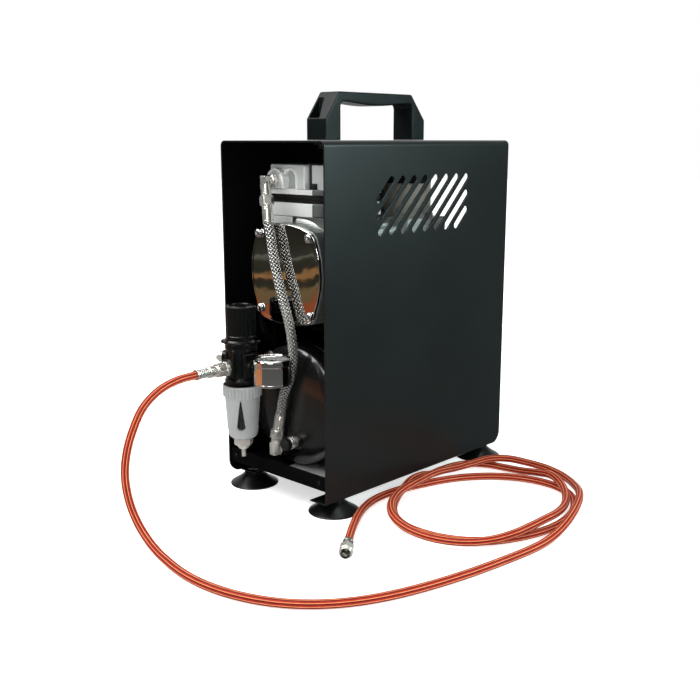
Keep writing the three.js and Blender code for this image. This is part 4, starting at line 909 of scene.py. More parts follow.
front = [(r, TANK_FRONT + DOME - d) for r, d in (superdome(k / 34) for k in range(35))]
rear = [(r, TANK_REAR - DOME + d) for r, d in (superdome(k / 34) for k in range(34, -1, -1))]
tank_profile = front[:-1] + bead(-90) + bead(94) + rear[1:]
tank_profile[0] = (0, tank_profile[0][1])
tank_profile[-1] = (0, tank_profile[-1][1])
bung = lambda x, z, back=5.2: along(joined(rod(7, back + BUNG, 48, 0.6), moved(lathe([(6, -2.0), (8.4, -2.0), (8.0, -1.0), (7.1, -0.3), (6, -0.3)], 48, 0.4, 2, True), z=back)), "ny", (x, dome_y(x, z) + back, z))
make("tank_shell", joined(along(lathe(tank_profile, 128, 0), "y", (0, 0, TANK_Z)), bung(*DRAIN), bung(ELBOW_TANK[0], ELBOW_TANK[2]), bung(REG_X, PORT_Z, 14)), TANK, "air_tank", sharp=42)

deck = carve(moved(plate(rounded(90, 176, 2.5, 5), 2.8, (), 0.5), y=-4, z=160.2), moved(plate(rounded(48, 80, 4, 5), 10), z=156))
cheeks = [moved(yz(soften([(-92, 127.6), (84, 127.6), (84, 161), (-92, 161)], 3, 4, True), 0, 3, (), 0.6), x=x) for x in (42, -45)]
mount_screws = [mat_index(moved(pan_screw(4.0, 3.0), x, -87.6, 162.9), 1) for x in (40, -40)]
make("pump_platform", joined(deck, *cheeks, *mount_screws), [BLACK_COAT_AND_SHADE, STEEL], "motor_mount")

dx, dz = DRAIN
dy = dome_y(dx, dz) - BUNG
valve = joined(along(rod(5, 7, 40), "ny", (dx, dy - 0.3, dz)), along(lathe([(0, 0), (5.6, 0), (5.9, 0.5), (5.6, 1.1), (5.0, 1.4), (5.0, 1.8), (5.9, 2.1), (6.0, 2.6), (5.8, 3.2), (0, 3.2)], 48, 0.15), "ny", (dx, dy - 3.4, dz)))
make("drain_valve", carve(valve, along(rod(2.6, 4, 32, 0), "ny", (dx, dy - 5, dz))), NICKEL, "tank_drain_valve")
knurl = lambda n, r0, r1: [((r0 if k % 2 else r1) * math.cos(PI * k / n), (r0 if k % 2 else r1) * math.sin(PI * k / n)) for k in range(2 * n)]
make("drain_knob", joined(along(plate(knurl(24, 5.35, 5.9), 5, (), 0.35), "ny", (dx, dy - 8, dz)), along(rod(2.1, 4, 32), "ny", (dx, dy - 5.4, dz)),
                          along(lathe([(0, 0), (3.9, 0), (3.4, 0.5), (0, 0.6)], 32, 0.1), "ny", (dx, dy - 12.9, dz))), DARK_STEEL, "tank_drain_knob")

# ------------------------------------------------------------------ discharge line
norm = lambda a: np.array(a, float) / np.linalg.norm(a)
EH, BT, BB, ET = (np.array(p, float) for p in (ELBOW_HEAD, BRAID_TOP, BRAID_BOTTOM, ELBOW_TANK))
leg, foot = norm(BT - EH), norm(ET - BB)
leg_at, foot_at = (lambda d: tuple(EH + leg * d)), (lambda d: tuple(BB + foot * d))


def elbow_body(a, centre, b, r, seg=32):
    """A forged elbow: one bore turning from a to b about centre."""
    a, c, b = (np.array(p, float) for p in (a, centre, b))
    u, w = norm(a - c), norm(b - c)
    cut = r * 0.95
    mid = [tuple((1 - q) ** 2 * (c + u * cut) + 2 * q * (1 - q) * c + q * q * (c + w * cut)) for q in np.linspace(0, 1, 12)]
    return sweep([tuple(a)] + mid + [tuple(b)], r, seg)


elbow = joined(
    moved(block(-3.8, 3.8, -3.8, 3.8, 0, 12.7, 0.9, 1.5), EH[0], EH[1], 287.5), along(rod(4.6, 9, 40), "ny", (EH[0], -104.3, EH[2])),
    along(hex_nut(11.5, 4.4, 0, 0.6), "ny", (EH[0], -105.4, EH[2])), along(rod(3.9, 13.3, 40), tuple(leg), tuple(EH)),
    along(lathe([(0, 0), (4.9, 0), (4.9, 1.5), (4.1, 1.9), (4.1, 2.3), (4.9, 2.7), (4.9, 4.2), (0, 4.2)], 48, 0.2), tuple(leg), leg_at(9.0)))
make("head_elbow", elbow, NICKEL, "discharge_elbow")


def sleeve(length, r, grooves):
    pts = [(0, 0), (r, 0)]
    for z in grooves:
        pts += [(r, z - 0.5), (r - 0.35, z), (r, z + 0.5)]
    return lathe(pts + [(r, length), (0, length)], 48, 0.15)


make("braid_fitting_top", joined(along(hex_nut(11.5, 9, 0, 1.0), tuple(leg), leg_at(13.6)), along(sleeve(16.6, 4.9, (1.6, 3.2, 14.2)), tuple(leg), leg_at(22.4))), NICKEL, "braid_nut_top")
reach = float(np.linalg.norm(BT - EH))
braid_pts = [leg_at(reach + 0.3), leg_at(reach + 4.5), (-10.2, -123.8, 250), (-5.2, -124.8, 230), (0.8, -125.4, 210), (8, -125.4, 189.5), (14.6, -124.8, 169), (16.2, -123.2, 152),
             (15.4, -121.8, 139), (10.5, -121.2, 120), (2.2, -121, 103.5), foot_at(-4), tuple(BB)]
braid_path, braid_len = catmull(braid_pts, 500)


def woven(path, strands, radius, lift, width, thick):
    """Two sets of flat strands wound opposite ways round path, each passing over and under the other."""
    n = len(path)
    tan = np.gradient(path, axis=0)
    tan /= np.linalg.norm(tan, axis=1)[:, None]
    s = np.concatenate([[0], np.cumsum(np.linalg.norm(np.diff(path, axis=0), axis=1))])
    up = np.cross(tan[0], (0, 0, 1.0))
    ups = []
    for i in range(n):
        up = up - tan[i] * np.dot(up, tan[i])
        up /= np.linalg.norm(up)
        ups.append(up)
    ups = np.array(ups)
    side = np.cross(tan, ups)
    turn = 2 * PI * radius
    v, f, uv, m = [], [], [], []
    for hand in (1, -1):
        for k in range(strands):
            a = 2 * PI * k / strands + hand * 2 * PI * s / turn
            r = radius + hand * lift * np.cos(PI * 2 * strands * s / turn)
            out = np.cos(a)[:, None] * ups + np.sin(a)[:, None] * side
            around = -np.sin(a)[:, None] * ups + np.cos(a)[:, None] * side
            run = tan + hand * around
            run /= np.linalg.norm(run, axis=1)[:, None]
            across = np.cross(out, run)
            mid = path + r[:, None] * out
            base = len(v)
            for i in range(n):
                for q, t in ((-0.5, -0.35), (-0.34, 0.22), (0.0, 0.5), (0.34, 0.22), (0.5, -0.35)):
                    v.append(mid[i] + across[i] * q * width + out[i] * t * thick)
            for i in range(n - 1):
                for c in range(5):
                    d = (c + 1) % 5
                    f.append((base + i * 5 + c, base + i * 5 + d, base + (i + 1) * 5 + d, base + (i + 1) * 5 + c))
                    u0, u1 = c / 4, (c + 1) / 4 if c < 4 else 0.0
                    uv.append([(u0, s[i] / 1000), (u1, s[i] / 1000), (u1, s[i + 1] / 1000), (u0, s[i + 1] / 1000)])
            for row in (tuple(base + c for c in range(5)), tuple(base + (n - 1) * 5 + c for c in reversed(range(5)))):
                f.append(row)
                uv.append([(0.0, 0.0)] * 5)
            m += [0 if hand == 1 else 2] * (len(f) - len(m))
    return {**geo(v, f, uv), "m": m}


braid_fine, _ = catmull(braid_pts, 460)
make("discharge_braid", joined(woven(braid_fine, WEAVE_N, WEAVE_R, 0.34, 1.52, 0.64), mat_index(sweep(braid_path, BRAID_R - 1.1, 24), 1)), [BRAID, BRAID_CORE, BRAID_BACK], "braided_hose", weighted=False, sharp=75)
make("braid_fitting_bottom", joined(along(sleeve(16.2, 5.1, (2.2, 4.2, 13)), tuple(foot), foot_at(0.4)), along(hex_nut(11.6, 10, 0, 1.0), tuple(foot), foot_at(16.4))), NICKEL, "braid_nut_bottom")
te_y = dome_y(ET[0], ET[2]) - BUNG
te_len = float(np.linalg.norm(ET - BB))
make("tank_inlet_elbow", joined(
    moved(block(-3.8, 3.8, -3.8, 3.8, -4.3, 8.2, 0.9, 1.6), *ET), along(rod(4.2, te_len - 26.7, 40), tuple(foot), foot_at(26.7)), along(rod(4.2, te_y - 0.3 - ET[1], 40), "y", tuple(ET)),
    along(hex_nut(10.4, 1.6, 0, 0.3), "y", (ET[0], ET[1] + 3.8, ET[2])), along(lathe([(0, 0), (4.6, 0), (4.9, 0.6), (4.9, 1.8), (4.5, 2.2), (0, 2.2)], 40, 0.2), tuple(foot), foot_at(28.4))), NICKEL_SATIN, "tank_elbow")

# ------------------------------------------------------------------ pump
HALF_COVER = [(0, 258), (14, 257.4), (26, 254.6), (34.6, 251.8), (38.8, 247.4), (42.8, 236), (45.6, 222), (46, 210), (43.6, 197), (39.6, 185), (36.5, 175.5), (31, 170.6), (15, 167.6), (0, 167)]


def cover_outline(grow, smooth=3.0):
    f, g = (lambda x: x * (1 + grow / 44)), (lambda z: 214 + (z - 214) * (1 + grow / 46))
    right = [(f(x), g(z)) for x, z in HALF_COVER]
    left = [(-x, z) for x, z in reversed(right[1:-1])]
    return soften(right + left, smooth, 4, True)


def blend_outline(a, b, n):
    """Two closed outlines resampled to n points from the same bearing about (0, 214)."""
    out = []
    for loop in (a, b):
        p = np.array(loop, float) - (0, 214)
        ang = np.unwrap(np.arctan2(p[:, 1], p[:, 0]))
        if ang[-1] < ang[0]:
            p, ang = p[::-1], ang[::-1]
        rad = np.linalg.norm(p, axis=1)
        ang, rad = np.concatenate([ang - 2 * PI, ang, ang + 2 * PI]), np.tile(rad, 3)
        q = np.linspace(0, 2 * PI, n, endpoint=False)
        base = ang[len(p)]
        q = base + ((q - base) % (2 * PI))
        r = np.interp(q, ang, rad)
        out.append((q, r))
    return out


def pressed_cover():
    """The cover plate: thin rolled rim, shallow crown, and a faint step inside the rim."""
    n, (q, r) = 160, blend_outline(cover_outline(-0.4), cover_outline(-0.4), 160)[0]
    order = np.argsort(q % (2 * PI))
    q, r = q[order], r[order]
    rows = [(1.0, 0.0), (1.0, 1.7), (0.996, 2.1), (0.988, 2.35), (0.975, 2.42), (0.955, 2.42), (0.940, 2.46), (0.925, 2.56), (0.91, 2.62)]
    rows += [(k, 2.62 + 0.38 * (1 - (k / 0.91) ** 2)) for k in np.linspace(0.87, 0.06, 18)]
    v, f = [], []
    for k, h in rows:
        v += [(r[i] * k * math.cos(q[i]), -114.5 - h, 214 + r[i] * k * math.sin(q[i])) for i in range(n)]
    for a in range(len(rows) - 1):
        f += [(a * n + i, a * n + (i + 1) % n, (a + 1) * n + (i + 1) % n, (a + 1) * n + i) for i in range(n)]
    f.append(tuple(range((len(rows) - 1) * n, len(rows) * n)))
    f.append(tuple(reversed(range(n))))
    return geo(v, f)


make("polished_cover", pressed_cover(), MIRROR, "crankcase_cover", sharp=60, weighted=False)
button = pan_screw(4.1, 3.4, False, 2.6)
SCREWS = [(-32.6, 248), (33.4, 247.5), (-32.2, 179), (33.2, 178)]
for i, (x, z) in enumerate(SCREWS):
    make(f"cover_button_{i + 1}", along(button, "ny", (x, -117.8, z)), STEEL, f"cover_screw_{i + 1}")

body = xz(cover_outline(0.6), -114.2, -38, (), 1.4, 4)
rim = xz(cover_outline(0.6), -114.2, -109, (), 0.9, 3)
shoulder = xz(soften([(-36.5, 263.3), (-36.5, 250), (36.5, 250), (36.5, 263.3)], 1.5, 3, True), -99.5, -38, (), 0.8, 3)
feet = xz(soften([(-38, 172), (-41, 163.3), (41, 163.3), (38, 172)], 1.0, 3, True), -82, -38, (), 0.6, 2)
ribs = [xz([(s * 30, 166), (s * 44, 172), (s * 46.3, 205), (s * 44, 205), (s * 41, 180), (s * 30, 170)], y, y + 3, (), 0.5) for s in (-1, 1) for y in (-98, -74, -52)]
case_solid = carve(body, along(rod(34, 69, 64, 0), "y", (0, -115, CRANK_Z)), moved(rod(24.9, 60, 48, 0), 0, CYL_Y, 222), along(rod(6.7, 20, 40, 0), "y", (0, -50, CRANK_Z)))
shoulder_cut = carve(shoulder, moved(rod(24.9, 60, 48, 0), 0, CYL_Y, 222))
shoulder_cut = carve(shoulder_cut, block(-6.5, -2.6, -101, -96.5, 252, 264, 0.2, 0.4), block(-2.6, 38, -101, -98.3, 249, 264, 0.1, 0.2))
# the neck block and the rib take the bright cast copy: painted light on the lit face under the flange, and a painted
# highlight along the rib
neck = mat_index(block(-36.3, -6.6, -100.6, -97, 251, 263.2, 0.5, 0.8), 1)
rib_path, _ = catmull([(-2.2, -96.8, 259.6), (10, -96.4, 258.4), (22, -95.6, 255.8), (33, -94.6, 251.8)], 40)
rib = mat_index(sweep(rib_path, [3.0 + 0.5 * math.sin(PI * k / 40) for k in range(41)], 28), 1)
make("pump_crankcase", joined(case_solid, shoulder_cut, feet, neck, rib), [CAST_DARK_AND_SHADE, CAST_FACED_AND_LIT], "crankcase", sharp=35)

cut_corner = lambda h, r: soften([(-h, -h), (20.0 - (HEAD_HALF - h), -h), (h, -20.0 + (HEAD_HALF - h)), (h, h), (-h, h)], r, 6, True)
sq = lambda h, r, n=8: [(x, y + CYL_Y) for x, y in cut_corner(h, r * 0.6)]
flange = moved(plate(sq(HEAD_HALF, 7), 12.1, (circle(BORE_R, 64, 0, CYL_Y),), 1.0, 4), z=263.7)
liner = moved(ring(24.3, BORE_R + 0.02, 26.5, 64), 0, CYL_Y, 238)
# painted shade: the chamfer faces turned from the light take the dark cast copy
painted_shade_chamfer = lambda x, y, z: x - y > 119.2
make("cylinder_barrel", joined(paint(flange, 1, painted_shade_chamfer), liner), [CAST_FACED_AND_LIT, CAST_DARK_AND_SHADE], "cylinder", sharp=35)
gasket_stack = joined(moved(plate(sq(HEAD_HALF - 0.9, 7), 1.4, (), 0.2), z=276.1), moved(plate(sq(HEAD_HALF - 0.6, 7), 3.7, (), 0.4), z=277.6), moved(plate(sq(HEAD_HALF - 0.9, 7), 1.5, (), 0.2), z=281.4))
make("valve_plate_stack", gasket_stack, GASKET_AND_SHADE, "valve_plate")


def arch_pts(x, r, z, base, n=20):
    return [(x + r, base)] + arc(x, z, r, 0, 180, n) + [(x - r, base)]


def arch_rim(x, r, z, base, w, y_a, y_b):
    """A raised arched bead."""
    outer, inner = arch_pts(x, r, z, base), arch_pts(x, r - w, z, base)
    return xz(outer + inner[::-1], y_a, y_b, (), min(w, y_b - y_a) * 0.35, 3)


base_plate = moved(plate(sq(HEAD_HALF, 7), 4.7, (), 0.8, 3), z=283.3)
head_block = moved(plate([(x, y + CYL_Y) for x, y in soften([(-37, -36), (10.9, -36), (10.9, -31.5), (32, -31.5), (37, -26.5), (37, 36), (-37, 36)], 2.6, 6, True)], HEAD_TOP - 287.8, (), 1.3, 4), z=287.8)
slot_tool = lambda sx, sy: block(10.6 if sx > 0 else -23.5, 21.4 if sx > 0 else -17.0, -34 if sy > 0 else -99.6, -26 if sy > 0 else -91, 288, 313, 0.3, 2.4)
recess = xz(arch_pts(-9.5, 7.4, 297.9, 289), -99.5, -97.3, (), 0.3)
fin_cuts = [block(x - 1.5, x + 1.5, -86, -40, 303, 313, 0.3, 1.4) for x in (-26, -14, -2, 10, 30)]
head = carve(head_block, recess, block(11.2, 13.9, -99.9, -91.6, 287, 314, 0.05, 0.1), block(11.6, 20.6, -99.8, -91.2, 287, 293.4, 0.3, 2.4), slot_tool(1, 1), slot_tool(-1, 1), *fin_cuts)
boss = xz(arch_pts(-25, 10.4, 295, 288.4), -103.9, -94, (), 1.1, 4)
# the raised beads take the near-white cast copy as a painted highlight
trims = [arch_rim(-9.5, 9.2, 297.7, 288.2, 1.9, -100.3, -96), arch_rim(-25, 11.4, 295.0, 288.2, 1.7, -104.3, -96), block(8.9, 10.9, -100.7, -96, 288.2, 308.8, 0.7, 0.7)]
# painted shade: the screw pocket takes the very dark cast copy
head = paint(head, 2, lambda x, y, z: -98 < y < -91.1 and (11.5 < x < 20.7 and z < 293.5 or 11.15 < x < 13.95 and y > -94.7))
# painted shade: the back of the arched recess takes the mid-grey cast copy
head = paint(head, 5, lambda x, y, z: (x + 9.5) ** 2 + max(0.0, z - 297.7) ** 2 < 7.35**2 and -98.9 < y < -94)
# the base plate takes the faced copy, with painted shade on its chamfer turned from the light
base_plate = paint(mat_index(base_plate, 1), 3, painted_shade_chamfer)
make("pump_head", joined(base_plate, head, boss, *[mat_index(t, 4) for t in trims]), [CAST, CAST_FACED_AND_LIT, CAST_PAINTED_SHADE, CAST_DARK_AND_SHADE, CAST_PAINTED_HIGHLIGHT, CAST_RECESS_SHADE], "cylinder_head", sharp=35)
cap = carve(lathe([(0, 0), (3, 0), (3, 3.7), (2.7, 4), (0, 4)], 40, 0.1), moved(plate([(1.5 * math.cos(k * PI / 3), 1.5 * math.sin(k * PI / 3)) for k in range(6)], 4), z=2))
for i, y in ((1, -95.5), (2, -30.5)):
    make(f"head_bolt_{i}", moved(cap, 16.3, y, 288.3), DARK_STEEL, f"head_screw_{i}")

# ------------------------------------------------------------------ intake parts seen through the vents
silencer = lathe([(0, 0), (26.5, 0), (26.5, 3), (24.2, 3.6), (24, 4.4), (24, 9), (23.6, 9.4), (24, 9.8), (24, 33.2), (0, 33.2)], 96, 0.35, 3)
lid = mat_index(lathe([(0, 33.3), (23.4, 33.3), (24.0, 33.9), (24, 38.3), (23.4, 40.2), (22.4, 41.4), (19, 42.6), (8, 42.6), (7.4, 42.0), (0, 42.0)], 96, 0.35, 3), 1)
make("silencer_canister", moved(joined(silencer, lid), 0, 53, 256.1), [SILENCER, BLACK_MATT], "intake_silencer", sharp=40)
filt = joined(along(lathe([(0, 0), (9.6, 0), (10.5, 0.9)] + [(10.5 - 0.5 * (k % 2), 1.5 + k * 0.8) for k in range(12)] + [(10.5, 11.1), (9.6, 12), (0, 12)], 64, 0.15), "y", (10, -21.2, 299)), along(rod(4, 6, 32), "y", (10, -26.6, 299)))
make("intake_foam_filter", filt, BLACK_MATT, "intake_filter")

# ------------------------------------------------------------------ regulator and moisture filter
at = lambda g: moved(g, REG_X, REG_Y, 0)
up = lambda g: moved(g, REG_X, REG_Y, 3.7)
core = lathe([(0, 113.7), (15.8, 113.7), (15.8, 116.3), (14.0, 118.2), (13.6, 119.5), (13.6, 141), (13.9, 143), (15.2, 145.2), (15.2, 149.4), (0, 149.4)], 64, 0.5, 3)
port = lambda d, r, length: along(lathe([(0, 8), (r, 8), (r, length - 1.6), (r + 0.5, length - 1.4), (r + 0.5, length - 0.5), (r, length), (0, length)], 48, 0.3), d, (0, 0, PORT_Z))
plug_dir = (-0.866, -0.5, 0)
reg_ribs = [turned_by(moved(block(-0.7, 0.7, 13.4, 15.2, 118.6, 142.5, 0.2, 0.3), 0, 0, 0), "Z", a) for a in (60, 300, 135, 225, 160, 200)]
reg = joined(core, port("x", 7.5, 18), port("nx", 7.5, 16.5), port("y", 8, 16), port("ny", 8, 17.5),
             along(lathe([(0, 8), (6.4, 8), (6.4, 17.2), (5.9, 17.5), (0, 17.5)], 40, 0.2), plug_dir, (0, 0, 136)), block(-14.6, 14.6, -8.8, 8.8, 118.6, 141.4, 1.2, 2.2), *reg_ribs)
make("regulator_housing", at(carve(reg, moved(rod(6.2, 30, 32, 0), 0, 0, 134)) if False else reg), BLACK, "regulator_body", sharp=38)
pd = np.array(plug_dir)
make("port_plug_screw", at(joined(along(lathe([(0, 0), (5.2, 0), (5.2, 3.6), (4.4, 4.4), (3.4, 5.0), (0, 5.0)], 40, 0.3), plug_dir, tuple(pd * 17.8 + (0, 0, 136))),
                                  along(hex_nut(6.4, 6.2, 0, 0.5), plug_dir, tuple(pd * 17.8 + (0, 0, 136))))), NICKEL_SATIN, "port_plug")
yb = dome_y(REG_X, PORT_Z) - BUNG
make("tank_nipple", at(joined(along(rod(5, yb - REG_Y - 16.6, 40), "y", (0, 16.3, PORT_Z)), along(hex_nut(13, 5.5, 0, 0.8), "y", (0, 16.8, PORT_Z)))), NICKEL, "inlet_nipple")
make("hose_adapter", at(along(joined(lathe([(0, 0), (6.9, 0), (6.9, 3.2), (0, 3.2)], 48, 0.4), moved(plate(knurl(26, 5.95, 6.4), 9.4, (), 0.4), z=3), rod(4.4, 16.2, 40)), "ny", (0, -17.8, PORT_Z))), NICKEL, "outlet_nipple")
ear = carve(joined(block(13.0, 18.4, -4.2, 4.2, 149.8, 152.8, 0.9, 2.0)), moved(rod(1.3, 6, 24, 0), 16.1, 0, 148.7))
lock = joined(lathe([(10.6, 149.7), (15.9, 149.7), (16.4, 150.4), (16.4, 152.2), (15.2, 153.8), (10.6, 153.8)], 72, 0.35, 3, True), *[turned_by(ear, "Z", a) for a in (40, 220, 130, 310)])
make("lock_collar", at(lock), BLACK, "lock_ring")
thread = [(5.6 - 0.35 * (k % 2), 137.6 + k * 0.5) for k in range(40)]
spindle = joined(lathe([(0, 137), (5.2, 137)] + thread + [(5.6, 158), (5.6, 177), (0, 177)], 40, 0.05, 1), moved(hex_nut(14.2, 4, 0, 0.6), 0, 0, 160))
make("pressure_spindle", at(spindle), STEEL, "adjusting_spindle")


def fluted(n, r_out, r_in, steps=10):
    out = []
    for k in range(n * steps):
        a = k / (n * steps) * n % 1
        w = 0.5 - 0.5 * math.cos(2 * PI * a)
        r = r_in + (r_out - r_in) * (1 - w**3)
        t = 2 * PI * k / (n * steps)
        out.append((r * math.cos(t), r * math.sin(t)))
    return out


knob = joined(moved(plate(fluted(22, 14, 13.45, 8), 27, (circle(10.2, 48),), 0.8, 3), z=157.4), lathe([(10.2, 154.1), (14.2, 154.1), (14.2, 157), (13.2, 158.2), (10.2, 158.2)], 84, 0.4, 3, True),
              lathe([(0, 179.4), (10.6, 179.4), (11.6, 184.3), (11.2, 185.0), (9.6, 185.2), (9.2, 184.6), (0, 184.6)], 72, 0.2, 2))
make("knob_grip", at(knob), BLACK, "regulator_knob", sharp=40)

rib_loop = []
for i in range(32):
    for fr, r in ((-0.22, 18.0), (0.22, 18.0), (0.32, 17.35), (0.68, 17.35)):
        a = (i + fr) / 32 * 2 * PI
        rib_loop.append((r * math.cos(a), r * math.sin(a)))
collar = moved(plate(rib_loop, 10.6, (circle(14.4, 64),), 0.35, 2), z=97)
collar_rim = lathe([(14.4, 105.6), (17.7, 105.6), (18.0, 106.0), (18.0, 107.3), (17.6, 107.6), (14.4, 107.6)], 72, 0.2, 2, True)
outer = [(15.9, 98), (15.6, 92), (15.0, 82), (14.4, 71), (13.9, 62), (13.4, 59.9), (12.6, 58.2), (11.2, 57.0), (9.5, 56.4), (7.2, 56.4)]
inner = [(7.2, 58.4), (9.4, 58.6), (11, 59.8), (11.9, 61.4), (12.2, 63), (14.4, 98)]
guard = lathe(outer + inner, 96, 0.3, 3, True)
tear = arc(0, 70.4, 4.2, 200, 340, 14) + [(0.6, 94), (-0.6, 94)]
window = lambda a, grow=0.0: turned_by(xz([((x * (1 + grow / 3.2)), 79 + (z - 79) * (1 + grow / 14)) for x, z in tear], -22, -8), "Z", a)
guard = carve(guard, *[window(a) for a in (43, 133, 223, 313)])


def tear_frame(a):
    """Raised bead round a window, laid on the tapered sleeve."""
    pts = soften([(x * 1.28, 79 + (z - 79) * 1.07) for x, z in tear], 0.5, 2, True)
    path = []
    for x, z in pts:
        r = np.interp(z, [62, 71, 82, 92, 98], [13.9, 14.4, 15.0, 15.6, 15.9]) + 0.05
        path.append((x, -math.sqrt(max(r * r - x * x, 1)), z))
    path.append(path[0])
    fine, _ = catmull(path, 120)
    return turned_by(sweep(fine, 0.42, 8), "Z", a)


make("bowl_guard_shell", up(joined(collar, collar_rim, guard, *[tear_frame(a) for a in (43, 133, 223, 313)])), GREY, "bowl_guard", sharp=36)
bowl = lathe([(0, 62), (8.6, 62), (10, 64), (12, 98), (12, 109.5), (14, 109.5), (14, 98.4), (11.8, 62.6), (10.6, 60.2), (6.8, 59), (6.8, 52.2), (2.3, 52.2), (2.3, 59.4), (0, 59.4)], 64, 0.3, 2)
make("bowl_shell", up(bowl), SMOKE, "filter_bowl", sharp=50)
nut = carve(joined(moved(hex_nut(15.6, 7, 0, 0.9), z=48.9)), moved(rod(7.15, 10, 48, 0), z=51.9), moved(rod(2.7, 20, 32, 0), z=40))
cone = lathe([(2.7, 45.2), (4, 45.2), (7.1, 49.0), (2.7, 49.0)], 48, 0.25, 2, True)
make("bowl_nut", up(joined(nut, cone)), NICKEL_SATIN, "drain_nut")
make("drain_stem", up(joined(moved(lathe([(0, 0), (1.5, 0), (1.9, 0.4), (1.9, 27), (0, 27)], 32, 0.15), z=37.2), moved(rod(3.2, 2, 32), z=63.2))), NICKEL_SATIN, "drain_pin")

# ------------------------------------------------------------------ gauge, on its back
gc = lambda g: moved(g, GAUGE_X, REG_Y, 0)
G = GAUGE_R
drum = lathe([(0, 117.8), (G - 1.4, 117.8), (G - 0.3, 118.8), (G - 0.3, 120.0), (G - 0.55, 120.3), (G - 0.3, 120.6), (G - 0.3, 135.6), (G - 0.1, 136.2), (G + 0.2, 136.7), (G + 0.2, 140.6), (G - 0.5, 141.8), (G - 1.4, 142.0), (G - 2.3, 141.2), (G - 2.3, 137.2), (0, 137.2)], 128, 0.3, 3)
stem_len = GAUGE_X - REG_X - 18.3 - (G - 1.2)
stem = along(joined(rod(4.2, stem_len + 2, 40), hex_nut(9, 3.4, 0, 0.5)), "x", (-(G - 1.2) - stem_len, 0, PORT_Z))
make("gauge_drum", gc(joined(drum, stem)), CHROME, "gauge_case", sharp=40)
marks = []
for k in range(51):
    a = math.radians(225 - 270 * k / 50)
    major, mid = k % 10 == 0, k % 5 == 0
    length, w = (3.0, 0.45) if major else (2.1, 0.3) if mid else (1.3, 0.18)
    tick = block(12.9 - length, 12.9, -w / 2, w / 2, 0, 0.06, 0.01, 0.02)
    marks.append(mat_index(moved(turned_by(tick, "Z", math.degrees(a)), 0, 0, 138.02), 1))
band = [(12.2 * math.cos(math.radians(a)), 12.2 * math.sin(math.radians(a))) for a in np.linspace(9, -45, 24)] + [(11.3 * math.cos(math.radians(a)), 11.3 * math.sin(math.radians(a))) for a in np.linspace(-45, 9, 24)]
marks.append(mat_index(moved(plate(band, 0.05), z=138.0), 2))
for k in range(6):
    cu = bpy.data.curves.new("digit", "FONT")
    cu.body, cu.size, cu.extrude, cu.align_x, cu.align_y = str(k * 2), 3.1, 0.03, "CENTER", "CENTER"
    ob = bpy.data.objects.new("digit", cu)
    SCENE.collection.objects.link(ob)
    d = from_object(ob)
    bpy.data.objects.remove(ob)
    a = math.radians(225 - 54 * k)
    marks.append(mat_index(moved(d, 7.9 * math.cos(a), 7.9 * math.sin(a), 138.05), 1))
make("gauge_face", gc(joined(moved(lathe([(0, 0), (14.7, 0), (14.7, 0.5), (0, 0.5)], 96, 0.08), z=137.5), *marks)), [DIAL, INK, RED], "gauge_dial", bevel=0.0, weighted=False)
needle = [(-0.55, -4.2), (0.55, -4.2), (0.75, -2.0), (0.5, 0), (0.16, 11), (-0.16, 11), (-0.5, 0), (-0.75, -2.0)]
nd = joined(moved(plate([(x, -y) for x, y in needle], 0.3, (), 0.05), z=138.4), moved(lathe([(0, 0), (1.5, 0), (1.5, 0.6), (1.1, 0.85), (0, 0.9)], 32, 0.1), z=138.3))
make("gauge_pointer", gc(turned_by(nd, "Z", -45)), INK, "gauge_needle")
make("gauge_lens", gc(moved(lathe([(0, 0), (14.7, 0), (14.7, 0.9), (14.2, 1.2), (0, 1.2)], 96, 0.15), z=139.6)), GLASS, "gauge_glass", sharp=50)

# ------------------------------------------------------------------ motor
nf, fins = 22, []
for i in range(nf):
    for fr, r in ((-0.22, 44.0), (-0.19, 44.4), (0.19, 44.4), (0.22, 44.0), (0.31, 42.2), (0.35, 42.0), (0.65, 42.0), (0.69, 42.2)):
        a = (i + fr) / nf * 2 * PI
        fins.append((r * math.cos(a), CRANK_Z + r * math.sin(a)))
can = xz(fins, -37.6, 78, (circle(39.9, 96, 0, CRANK_Z),), 0.5, 2)
web = xz(circle(40.2, 72, 0, CRANK_Z), 74.0, 77.4, (circle(31, 64, 0, CRANK_Z),), 0.5, 2)
hub = along(ring(12, 6.7, 6, 48), "y", (0, 71.5, CRANK_Z))
spokes = [moved(turned_by(block(10, 33, -2.2, 2.2, -3, 0.3, 0.4, 0.5), "Z", 0), 0, 0, 0) for _ in range(4)]
spokes = [along(turned_by(block(11, 33, -2.2, 2.2, 0, 3, 0.4, 0.6), "Z", k * 90 + 45), "y", (0, 74.2, CRANK_Z)) for k in range(4)]
deck_block = xz(soften([(-29, 243), (29, 243), (29, 255.8), (-29, 255.8)], 1.5, 3, True), 20, 79.6, (), 0.6, 2)
deck_block = carve(deck_block, along(rod(40.5, 110, 64, 0), "y", (0, -38.5, CRANK_Z)))
make("motor_shell", joined(can, web, hub, deck_block, *spokes), CAST_LIGHT, "motor_housing", sharp=35)
core_ring = along(ring(39.2, 26.6, 76, 96), "y", (0, -16, CRANK_Z))


def coil(y, out):
    rows = []
    for k in range(9):
        t = k / 8
        r = 29.5 + 7.0 * t
        rows.append(r)
    turns = []
    for j in range(6):
        z = y + 1 + j * 1.9
        turns.append(along(lathe([(30.0 + 0.4 * (j % 2), 0), (36.6 - 0.3 * (j % 2), 0), (36.9 - 0.3 * (j % 2), 1.0), (36.6 - 0.3 * (j % 2), 2.0), (30.0 + 0.4 * (j % 2), 2.0)], 72, 0.5, 2, True), "y", (0, z, CRANK_Z)))
    return joined(*turns)


make("motor_stator", joined(mat_index(core_ring, 1), coil(-27, -1), coil(59, 1)), [COPPER, LAMINATE], "stator")
make("motor_rotor", along(ring(25.8, 6.4, 72, 72), "y", (0, -14, CRANK_Z)), LAMINATE, "rotor")


